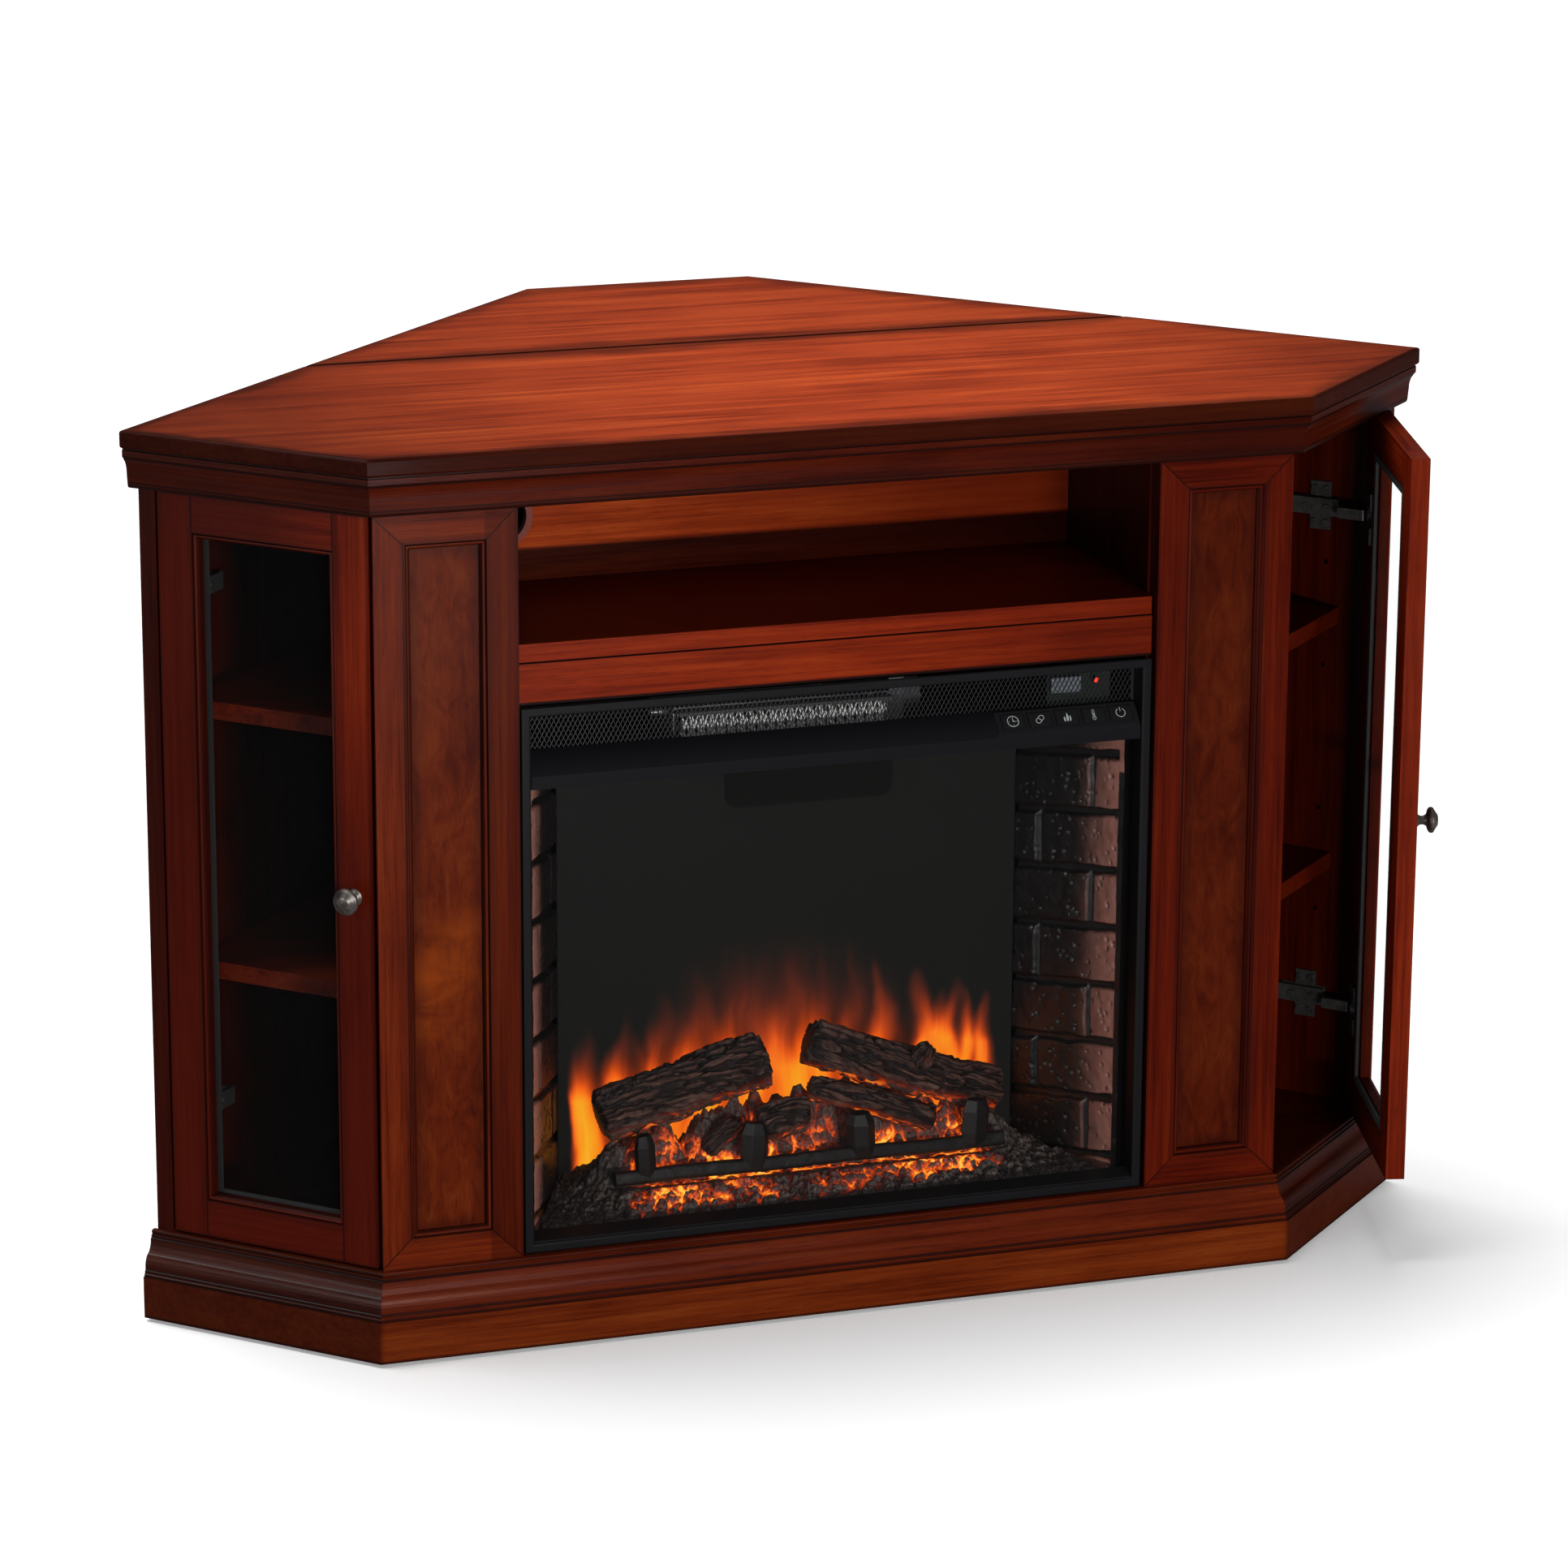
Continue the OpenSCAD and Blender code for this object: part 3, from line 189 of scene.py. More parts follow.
def ribbon_part(line, width, low, high, closed=False):
    """A flat band of the given width along a line in a plane, raised from low to high."""
    line = np.asarray(line, float)
    if closed:
        along = np.roll(line, -1, 0) - np.roll(line, 1, 0)
    else:
        along = np.gradient(line, axis=0)
    along /= np.linalg.norm(along, axis=1)[:, None]
    out = np.stack([along[:, 1], -along[:, 0]], -1) * width / 2
    ring = [np.c_[line - out, np.full(len(line), low)], np.c_[line + out, np.full(len(line), low)],
            np.c_[line + out, np.full(len(line), high)], np.c_[line - out, np.full(len(line), high)]]
    points, faces = grid_part(np.stack(ring, 1), close_u=closed, close_v=True)
    if not closed:
        n = len(points)
        faces = faces + [np.array([[0, 1, 2, 3], [n - 1, n - 2, n - 3, n - 4]])]
    return points, faces


def join(parts):
    """One list of points and faces from several."""
    points, faces, offset = [], [], 0
    for p, f in parts:
        points.append(p)
        faces += [quads + offset for quads in f]
        offset += len(p)
    return np.concatenate(points), faces


def border(grid):
    """The points round a grid, in order."""
    return np.r_["0,2", grid[0, :], grid[:, -1][1:], grid[-1, ::-1][1:], grid[::-1, 0][1:-1]]


def slab(face, back):
    """A grid closed by walls round its border and by one quad through the back's corners."""
    walls = grid_part(np.stack([border(face), border(back)], 1), close_u=True)
    corners = np.array([back[0, 0], back[0, -1], back[-1, -1], back[-1, 0]])
    return join([grid_part(face), walls, (corners, [np.array([[0, 1, 2, 3]])])])


def over_face(values, part):
    """A field over the face of a slab, and 0 on its walls and back."""
    return np.r_[values.ravel(), np.zeros(len(part[0]) - values.size)]


def piece(name, part, body, material, stands_for=(), shade_smooth=True, fields=None):
    """Puts points and faces into a mesh object that rides on a body, with its faces turned out."""
    points, faces = part
    mesh = bpy.data.meshes.new(name)
    mesh.vertices.add(len(points))
    mesh.vertices.foreach_set("co", np.ascontiguousarray(points, np.float32).ravel())
    corners = np.concatenate([f.ravel() for f in faces]).astype(np.int32)
    counts = np.concatenate([np.full(len(f), f.shape[1]) for f in faces])
    starts = np.concatenate([[0], np.cumsum(counts)[:-1]]).astype(np.int32)
    mesh.loops.add(len(corners))
    mesh.loops.foreach_set("vertex_index", corners)
    mesh.polygons.add(len(counts))
    mesh.polygons.foreach_set("loop_start", starts)
    mesh.update(calc_edges=True)
    mesh.validate()
    mesh.polygons.foreach_set("use_smooth", np.full(len(mesh.polygons), shade_smooth))
    for field, values in (fields or {}).items():
        layer = mesh.attributes.new(field, "FLOAT", "POINT")
        layer.data.foreach_set("value", np.ascontiguousarray(values, np.float32).ravel())
    thing = bpy.data.objects.new(name, mesh)
    bpy.context.collection.objects.link(thing)
    bpy.context.view_layer.objects.active = thing
    thing.select_set(True)
    bpy.ops.object.mode_set(mode="EDIT")
    bpy.ops.mesh.select_all(action="SELECT")
    bpy.ops.mesh.normals_make_consistent(inside=False)
    bpy.ops.object.mode_set(mode="OBJECT")
    thing.select_set(False)
    mesh.materials.append(material)
    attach(thing, body)
    if stands_for:
        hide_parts(*stands_for)
    return thing


# ------------------------------------------------------------------ finishes
def maths(operation, swap=False):
    """A method that adds one Math node, its values in order or the other way round."""
    def method(self, *others):
        values = (self, *others)
        order = values[::-1] if swap else values
        return self.shading.node("ShaderNodeMath", {"operation": operation}, dict(enumerate(order)))
    return method


class Term:
    """A value or colour in a node tree, with arithmetic that adds Math nodes."""

    def __init__(self, shading, socket):
        self.shading, self.socket = shading, socket

    __add__ = __radd__ = maths("ADD")
    __sub__ = maths("SUBTRACT")
    __rsub__ = maths("SUBTRACT", swap=True)
    __mul__ = __rmul__ = maths("MULTIPLY")
    __truediv__ = maths("DIVIDE")
    __pow__ = maths("POWER")
    __abs__ = maths("ABSOLUTE")
    __gt__ = maths("GREATER_THAN")
    __lt__ = maths("LESS_THAN")
    least = maths("MINIMUM")
    most = maths("MAXIMUM")

    def rise(self, lo, hi):
        """0 at lo and below, 1 at hi and above, smooth between."""
        if lo > hi:
            return 1 - self.rise(hi, lo)
        return self.shading.node("ShaderNodeMapRange", {"interpolation_type": "SMOOTHSTEP", "clamp": True},
                                 {"Value": self, "From Min": lo, "From Max": hi})

    def line(self, at, half, soft):
        """1 within half of a place, falling to 0 over soft."""
        return abs(self - at).rise(half + soft, half)


class Shading:
    """A node tree that starts empty. Every node comes from one method."""

    def __init__(self, tree):
        self.tree = tree
        tree.nodes.clear()

    def feed(self, socket, value):
        if isinstance(value, Term):
            self.tree.links.new(value.socket, socket)
        elif hasattr(socket.default_value, "__len__"):
            filler = [1.0] * (len(socket.default_value) - len(value))
            socket.default_value = [*value, *filler]
        else:
            socket.default_value = value

    def node(self, kind, settings, inputs, output=0):
        """Any node: its settings first, then the values or links of its sockets."""
        made = self.tree.nodes.new(kind)
        for key, value in settings.items():
            if key == "stops":
                ramp = made.color_ramp
                while len(ramp.elements) < len(value):
                    ramp.elements.new(0.5)
                for element, (place, colour) in zip(ramp.elements, value):
                    element.position = place
                    element.color = (*colour, 1)
            else:
                setattr(made, key, value)
        for key, value in inputs.items():
            self.feed(made.inputs[key], value)
        return Term(self, made.outputs[output]) if made.outputs else None

    def ray(self, kind):
        """1 for rays of the given kind."""
        return self.node("ShaderNodeLightPath", {}, {}, kind)


class Finish(Shading):
    """A material made with expressions on object coordinates."""

    def __init__(self, name, roughness=0.5, metallic=0.0, **constants):
        self.material = bpy.data.materials.new(name)
        self.material.use_nodes = True
        super().__init__(self.material.node_tree)
        self.shader = self.tree.nodes.new("ShaderNodeBsdfPrincipled")
        self.out = self.tree.nodes.new("ShaderNodeOutputMaterial")
        self.tree.links.new(self.shader.outputs[0], self.out.inputs["Surface"])
        self.give(Roughness=roughness, Metallic=metallic, **constants)
        self.position = self.node("ShaderNodeTexCoord", {}, {}, "Object")
        parts = self.tree.nodes.new("ShaderNodeSeparateXYZ")
        self.feed(parts.inputs[0], self.position)
        self.x, self.y, self.z = (Term(self, parts.outputs[k]) for k in range(3))

    def vector(self, x, y, z):
        return self.node("ShaderNodeCombineXYZ", {}, {0: x, 1: y, 2: z})

    def noise(self, vector, scale=1.0, detail=2.0, rough=0.55, distortion=0.0):
        return self.node("ShaderNodeTexNoise", {}, {"Vector": vector, "Scale": scale, "Detail": detail,
                                                    "Roughness": rough, "Distortion": distortion})

    def cells(self, vector, scale, feature="F1"):
        """Distance to the nearest random point or, by the feature, to the edge of its cell."""
        return self.node("ShaderNodeTexVoronoi", {"feature": feature}, {"Vector": vector, "Scale": scale},
                         "Distance")

    def blend(self, amount, first, second):
        """The first colour, turning into the second as the amount goes to 1."""
        return self.node("ShaderNodeMix", {"data_type": "RGBA"}, {0: amount, 6: first, 7: second}, 2)

    def field(self, name):
        return self.node("ShaderNodeAttribute", {"attribute_name": name}, {}, "Fac")

    def ramp(self, amount, stops):
        return self.node("ShaderNodeValToRGB", {"stops": stops}, {"Fac": amount}, "Color")

    def bump(self, height, distance, strength=1.0):
        self.give(Normal=self.node("ShaderNodeBump", {}, {"Height": height, "Distance": distance,
                                                          "Strength": strength}))

    def give(self, **inputs):
        for key, value in inputs.items():
            self.feed(self.shader.inputs[key.replace("_", " ")], value)

    def dress(self, *nodes):
        """Gives the finish to nodes of the frame."""
        for name in nodes:
            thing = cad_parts[name]
            thing.data.materials.clear()
            thing.data.materials.append(self.material)


def mottled(name, scale, dark, light, roughness, spread=0.2, detail=2, grain=0.55, depth=0.0,
            strength=0.5, metallic=0.0, **constants):
    """A finish that drifts between two colours with fine noise. The noise also spreads the
    roughness upwards and, where a depth is given, raises the surface."""
    f = Finish(name, roughness, metallic, **constants)
    grit = f.noise(f.position, scale, detail, grain)
    f.give(Base_Color=f.blend(grit, dark, light))
    if spread:
        f.give(Roughness=roughness + grit * spread)
    if depth:
        f.bump(grit, depth, strength)
    return f


def side_run(f):
    """Coordinates along and across the door sides, the same on left and right."""
    ax = abs(f.x)
    return ax * SIDE_COS + f.y * SIDE_SIN, ax * -SIDE_SIN + f.y * SIDE_COS


def door_run(f, side):
    """Coordinates of a door as it is drawn closed: along its width and back through it."""
    m = 1 if side == "left" else -1
    turn = 0.0 if side == "left" else RIGHT_OPEN
    # Closed coordinates are a.(x, y) + b, then turned about the hinge line
    a = np.array([[m * SIDE_DIR[0], SIDE_DIR[1]], [-m * SIDE_IN[0], -SIDE_IN[1]]])
    b = -np.array([BODY_CORNER @ SIDE_DIR, -BODY_CORNER @ SIDE_IN])
    spin = np.array([[math.cos(turn), -math.sin(turn)], [math.sin(turn), math.cos(turn)]])
    hinge = np.array([HINGE_X, 0])
    a, b = spin @ a, spin @ (b - hinge) + hinge
    along, out = (f.x * float(a[k, 0]) + f.y * float(a[k, 1]) + float(b[k]) for k in (0, 1))
    return along, out


def edge_distances(x, z, x0, x1, z0, z1):
    """Distances from the long edges and from the ends of a rectangle."""
    return (x - x0).least(x1 - x), (z - z0).least(z1 - z)


def cherry(name, run, glaze=None, tone=1.0, warm=0.0, figure=0.0, seed=0.0, tint=None, dark=None,
           shine=0.12):
    """Stained cherry under lacquer. run gives the coordinates along the grain and across it.
    Broad figure, streaks and pores are noise that is stretched along the grain. glaze, tint and
    dark give masks for dark glaze, golden figure and a deeper colour, which on most boards is
    painted shade."""
    looks = bpy.context.scene.fireplace_looks
    f = Finish(name, IOR=1.35, Coat_Weight=looks.coat, Coat_Roughness=0.10, Coat_IOR=1.4,
               Specular_IOR_Level=shine)
    along, t, n = run(f)
    place = f.vector(along + seed, t, n + seed * 0.37)
    wide = f.noise(f.vector((along + seed) * 1.7, t * 17, n * 17 + seed), 1, 3, 0.55, 0.9)
    band = f.noise(f.vector((along + seed) * 3.1, t * 62, n * 62), 1, 3, 0.6, 0.5)
    streak = f.noise(f.vector((along + seed) * 6, t * 230, n * 230), 1, 3, 0.65, 0.3)
    pores = f.noise(f.vector((along + seed) * 55, t * 900, n * 900), 1, 2).rise(0.56, 0.68)
    cloud = f.noise(place, 7.5, 3, 0.6)
    curl = f.noise(f.vector(along * 24 + seed, t * 60, n * 60), 1, 3, 0.6, 1.6)
    shade = wide * 0.20 + band * 0.28 + streak * 0.36 + cloud * 0.16
    if figure:
        shade = shade * (1 - figure) + (curl * 0.5 + cloud * 0.5) * figure
    base = np.array(looks.cherry) * tone * np.array([1, 1 + warm, 1 + warm])
    deep = base * np.array([0.48, 0.36, 0.40])
    brown = base * np.array([0.84, 0.76, 0.76])
    light = base * np.array([1.34, 1.70, 1.6])
    colour = f.ramp(shade, [(0.40, deep), (0.47, brown), (0.53, base * 1.08), (0.605, light)])
    colour = f.blend(pores * 0.34, colour, deep * 0.6)
    for mask, over in ((dark, base * np.array([0.30, 0.21, 0.24])), (tint, base * np.array([2.6, 3.6, 1.6])),
                       (glaze, looks.glaze)):
        if mask is not None:
            colour = f.blend(mask(f), colour, over)
    f.bump(streak * 0.5 + pores * -0.8 + wide * 0.6, 0.00012, 0.5)
    f.give(Base_Color=colour, Roughness=0.30 + streak * 0.16)
    return f


def along_x(f):
    return f.x, f.y, f.z


def along_z(f):
    return f.z, f.x, f.y


def along_sides(f):
    return (*side_run(f), f.z)


def lines(value, *marks):
    """Dark lines at several places of a coordinate: place, half width and softness of each."""
    total = value.line(*marks[0])
    for mark in marks[1:]:
        total = total.most(value.line(*mark))
    return total


def top_edges(f):
    """Distance in from the nearest edge of either top board."""
    ax = abs(f.x)
    side = (TOP_FRONT_HALF - ax) * SIDE_SIN + (f.y - FRONT_Y) * SIDE_COS
    wall = ((TOP_HALF - ax) - (f.y - TOP_WALL_Y)) * math.sqrt(0.5)
    return (f.y - FRONT_Y).least(side).least(wall).least(abs(f.y - SEAM_Y)).least(REAR_Y - f.y)


def top_glaze_and_shade(f):
    """Painted shade that deepens away from the middle of the top, where the pool of light falls off,
    and glaze near its edges and on its rims. Along the front, the rim darkens to the right with
    painted shade."""
    edge = top_edges(f)
    drift = f.noise(f.position, 9, 3, 0.6)
    # Painted shade: the pool of light on the top falls off away from its middle.
    painted_pool_shade = (((f.x - 0.06) / 0.53) ** 2 + ((f.y + 0.02) / 0.95) ** 2).least(1) * 0.62
    near = (edge + (drift - 0.5) * 0.05).rise(0.042, 0.002) * (0.66 + f.x.rise(-0.25, -0.55) * 0.22)
    rim = edge.rise(0.0062, 0.0028) * 0.94
    # The board's front face is glazed, and darker to the right with painted shade of the falling front light.
    front_face_glaze_and_shade = (f.z - TOP_EDGE_Z).rise(0.0005, -0.0015) * (0.20 + f.x.rise(-0.05, 0.50) * 0.50)
    return painted_pool_shade.most(near).most(rim).most(front_face_glaze_and_shade)


def moulding_glaze(f, strength, *marks):
    """Uneven dark lines in the grooves of a moulding, by their heights."""
    drift = f.noise(f.vector(f.x, f.y, f.z * 0.2), 30, 3, 0.6)
    return lines(f.z, *marks) * (strength + drift * 0.3)


def crown_glaze(f):
    return moulding_glaze(f, 0.72, (0.8022, 0.0008, 0.0012), (0.7942, 0.0008, 0.0014),
                          (0.7672, 0.0008, 0.0030), (0.7712, 0.0002, 0.0012))


def base_glaze(f):
    return moulding_glaze(f, 0.66, (0.0802, 0.0002, 0.0008), (0.0752, 0.0009, 0.0015),
                          (0.0472, 0.0007, 0.0016), (0.0426, 0.0006, 0.0012), (0.0036, 0.0006, 0.0022))


def frame_marks(f, x, z, rect, width, mitred=True):
    """Dark glaze of a frame: the joints of its corners, the grooves beside its bead and its
    outer edge. The corners are mitred, or the rails end against the stiles."""
    dx, dz = edge_distances(x, z, *rect)
    near = dx.least(dz)
    if mitred:
        joint = abs(dx - dz).rise(0.0013, 0.0003) * near.rise(width + 0.001, width)
    else:
        joint = abs(dx - width).rise(0.0013, 0.0003) * dz.rise(width + 0.001, width)
    grooves = lines(near, (width + 0.0004, 0.0006, 0.0012), (width + 0.0048, 0.0006, 0.0010))
    drift = f.noise(f.position, 26, 3, 0.6)
    edge = near.rise(0.0032, 0.0004) * 0.55
    burn = near.line(width + 0.002, 0.002, 0.010) * 0.30
    return joint.most(grooves * 0.92).most(edge).most(burn) * (0.7 + drift * 0.32)


def frame_run(f, x, t, z, rect, stile=None):
    """Grain that runs upright in the stiles and across in the rails, which meet at mitres or
    at the given width of the stiles. The rails take their grain from another place."""
    dx, dz = edge_distances(x, z, *rect)
    rail = dz < dx if stile is None else (dx > stile) * (dz < stile)
    along = z * (1 - rail) + (x + 3.0) * rail
    across = x * (1 - rail) + (z + 5.0) * rail
    return along, across, t


# ------------------------------------------------------------------ settings
class FireplaceLooks(bpy.types.PropertyGroup):
    cherry: FloatVectorProperty(
        name="Cherry", description="Mean colour of the stained wood", subtype="COLOR", size=3, min=0, max=1,
        default=(0.240, 0.027, 0.004))
    glaze: FloatVectorProperty(
        name="Glaze", description="Dark glaze in grooves and on edges", subtype="COLOR", size=3, min=0, max=1,
        default=(0.010, 0.0022, 0.0015))
    coat: FloatProperty(name="Lacquer", description="Amount of clear lacquer on the wood", min=0, max=1,
                        default=0.03, subtype="FACTOR")
    pewter: FloatVectorProperty(name="Pewter", description="Colour of the knobs", subtype="COLOR", size=3,
                                min=0, max=1, default=(0.135, 0.115, 0.100))
    ember: FloatVectorProperty(name="Embers", description="Colour of the hottest embers", subtype="COLOR",
                               size=3, min=0, max=1, default=(1.0, 0.33, 0.020))
    glow: FloatProperty(name="Glow", description="Strength of the lit embers", min=0, max=20, default=1.15)


class FireplaceSizes(bpy.types.PropertyGroup):
    mesh_pitch: FloatProperty(name="Mesh pitch", description="Distance between strands of the outlet mesh",
                              default=0.0043, min=0.002, max=0.01, unit="LENGTH")
    strand: FloatProperty(name="Strand width", description="Width of a strand of the outlet mesh",
                          default=0.0008, min=0.0004, max=0.003, unit="LENGTH")
    bark: FloatProperty(name="Bark relief", description="Height of the bark's plates", default=0.0034,
                        min=0.0, max=0.01, unit="LENGTH")
    ember_step: FloatProperty(name="Ember step", description="Grid step of the ember bed", default=0.0012,
                              min=0.001, max=0.01, unit="LENGTH")
    brick_step: FloatProperty(name="Brick step", description="Grid step of the brick panels", default=0.0014,
                              min=0.001, max=0.01, unit="LENGTH")
    log_sides: IntProperty(name="Log sides", description="Points round a split log", default=220,
                           min=40, max=400)


# ------------------------------------------------------------------ cabinet
def painted_shade_rightward(f):
    """Painted shade, deeper towards the right, where the front light falls off."""
    return f.x.rise(-0.05, 0.38) * 0.72


class CherryBoards(bpy.types.Operator):
    """Finishes every board, moulding and frame of the cabinet in stained cherry"""
    bl_idname = "fireplace.cherry_boards"
    bl_label = "Cherry boards"

    def execute(self, context):
        cherry("Cherry top", along_x, top_glaze_and_shade, 1.90, 0.06, shine=0.04).dress("top_panel")
        cherry("Cherry top extension", along_x, top_glaze_and_shade, 1.80, 0.06, seed=4.2,
               shine=0.04).dress("top_extension")
        self.mouldings()
        for side, m in (("left", -1), ("right", 1)):
            self.column(side, m)
            self.door(side, m)
        self.column_panels()
        self.bay()
        self.inner_boards()
        return {"FINISHED"}

    def mouldings(self):
        def painted_side_shade(f):
            """Painted shade on the plinth's boards beyond the front corners, which face away from the light.
            """
            return abs(f.x).rise(0.424, 0.432) * 0.70
        cherry("Cherry crown", along_x, crown_glaze, 0.27, -0.15, seed=1.3,
               dark=painted_shade_rightward).dress("crown_front")
        cherry("Cherry crown returns", along_sides, crown_glaze, 0.22, -0.1, seed=2.3).dress("crown_returns")
        cherry("Cherry base cap", along_x, base_glaze, 0.36, seed=3.1, shine=0.24).dress("base_cap_front")
        # The base returns' tone, far below the base cap's, is painted shade of sides that face away from the
        # light.
        cherry("Cherry base returns", along_sides, base_glaze, 0.16, 0.1, seed=5.3,
               shine=0.20).dress("base_cap_returns")
        cherry("Cherry plinth", along_x, base_glaze, 0.52, 0.30, seed=6.1,
               dark=painted_side_shade).dress("plinth_boards")

    def column(self, side, m):
        def run(f):
            return frame_run(f, f.x * m, f.y, f.z, COLUMN)

        def glaze(f):
            return frame_marks(f, f.x * m, f.z, COLUMN, COLUMN_STILE)

        def inner_stile(f):
            """Darker on the left column's stile beside the bay."""
            return (f.x * m).rise(0.3245, 0.3225) * 0.52
        # The right column's lower tone is painted shade, where the front light falls off to the right.
        tone, warm, dark = (0.50, 0.0, inner_stile) if side == "left" else (0.34, -0.35, None)
        cherry(f"Cherry {side} column", run, glaze, tone, warm, seed=7.0 + m,
               dark=dark).dress(f"{side}_column")

    def door(self, side, m):
        def run(f):
            along, out = door_run(f, side)
            return frame_run(f, along, out, f.z, DOOR, DOOR_STILE)

        def glaze(f):
            return frame_marks(f, door_run(f, side)[0], f.z, DOOR, DOOR_STILE, False)

        def painted_door_shade(f):
            """Painted shade away from the upper part of the front stile, where the light falls."""
            along = door_run(f, side)[0]
            if side == "right":
                return along.rise(0.10, 0.19) * 0.40
            return 0.80 - along.rise(0.12, 0.0) * f.z.rise(0.38, 0.68) * 0.80
        tone = 0.80 if side == "left" else 1.02
        cherry(f"Cherry {side} door", run, glaze, tone, -0.28, seed=9.0 + m,
               dark=painted_door_shade).dress(f"{side}_door_frame")

    def column_panels(self):
        def glaze(f):
            dx, dz = edge_distances(abs(f.x), f.z, *PANEL)
            return dx.least(dz).rise(0.020, 0.004) * 0.42

        def figure_glow(f):
            """One cloud of curly figure at the middle of the left panel."""
            slant = f.z - 0.352 - (f.x + 0.36) * 0.5
            spot = (slant * 17) ** 2 + ((f.x + 0.372) * 17) ** 2
            curl = f.noise(f.vector(f.x * 14, f.y, f.z * 26), 1, 3, 0.6, 0.6)
            return curl.rise(0.25, 0.75) * spot.rise(1.3, 0.0)

        # Painted shade on the right panel, where the front light falls off.
        def right_panel_painted_shade(f):
            return f.x.rise(-0.1, 0.1) * 0.42
        cherry("Cherry panels", along_z, glaze, 0.40, 0.06, figure=0.75, seed=0.6, tint=figure_glow,
               dark=right_panel_painted_shade).dress("column_panels")

    def bay(self):
        def shelf_glaze(f):
            return (f.y - SHELF_FRONT_Y).rise(0.0026, 0.0004) * 0.10

        def shelf_painted_shade(f):
            """Painted shade: the shelf's top is dark behind its front edge, in the shade under the top, and
            the edge darkens to the right, where the front light falls off.
            """
            return (f.y - SHELF_FRONT_Y).rise(0.0010, 0.0028).most(painted_shade_rightward(f) * 0.875) * 0.80

        def apron_glaze(f):
            return lines(f.z, (0.6236, 0.0005, 0.0010), (0.5866, 0.0008, 0.0020))
        cherry("Cherry media shelf", along_x, shelf_glaze, 0.86, -0.24, seed=5.9,
               dark=shelf_painted_shade).dress("media_shelf")
        cherry("Cherry apron", along_x, apron_glaze, 0.80, -0.20, seed=6.9,
               dark=painted_shade_rightward).dress("apron_rail")
        # Painted shade: the bay back darkens to the right, where the front light falls off.
        cherry("Cherry bay back", along_x, None, 1.25, 0.12, seed=7.9,
               dark=lambda f: f.x.rise(-0.24, 0.26) * 0.85).dress("bay_back")

    def inner_boards(self):
        # The low tones of the wall panels, dividers and floor paint the shade inside the cabinet and the bay.
        plain_boards = (("wall panels", along_z, 0.17, -0.3, 1.9, "wall_side_panels"),
                        ("dividers", along_z, 0.14, -0.3, 2.9, "dividers"),
                        ("floor", along_x, 0.24, 0.0, 3.9, "bottom_panel"),
                        ("rails", along_x, 0.34, 0.0, 4.9, "carcase_rails"))
        for name, run, tone, warm, seed, node in plain_boards:
            cherry(f"Cherry {name}", run, None, tone, warm, seed=seed).dress(node)
        # Painted shade: the shelves on the right are darker.
        cherry("Cherry shelves", along_x, None, 0.62, -0.2, seed=8.9,
               dark=lambda f: f.x.rise(-0.1, 0.1) * 0.7).dress("adjustable_shelves")
        raw = Finish("Stained softwood", 0.75, Specular_IOR_Level=0.2)
        grain = raw.noise(raw.vector(raw.x * 8, raw.y * 90, raw.z * 90), 1, 4, 0.6, 0.5)
        raw.bump(grain, 0.0004, 0.4)
        raw.give(Base_Color=raw.ramp(grain, [(0.3, (0.030, 0.0085, 0.0040)), (0.7, (0.085, 0.026, 0.012))]),
                 Roughness=0.6 + grain * 0.2)
        raw.dress("base_frame")
        rear = Finish("Fibre board", 0.62)
        specks = rear.noise(rear.position, 900, 3, 0.7)
        wide = rear.noise(rear.vector(rear.x * 26, rear.y, rear.z * 2.2), 1, 3, 0.6, 1.0)
        outside = rear.y.rise(0.1852, 0.1858)
        face = rear.blend(wide, (0.135, 0.040, 0.018), (0.20, 0.065, 0.030))
        inner = rear.blend(specks, (0.022, 0.0062, 0.0030), (0.044, 0.013, 0.006))
        rear.bump(specks, 0.00018, 0.5)
        rear.give(Base_Color=rear.blend(outside, inner, face))
        rear.dress("rear_panel")


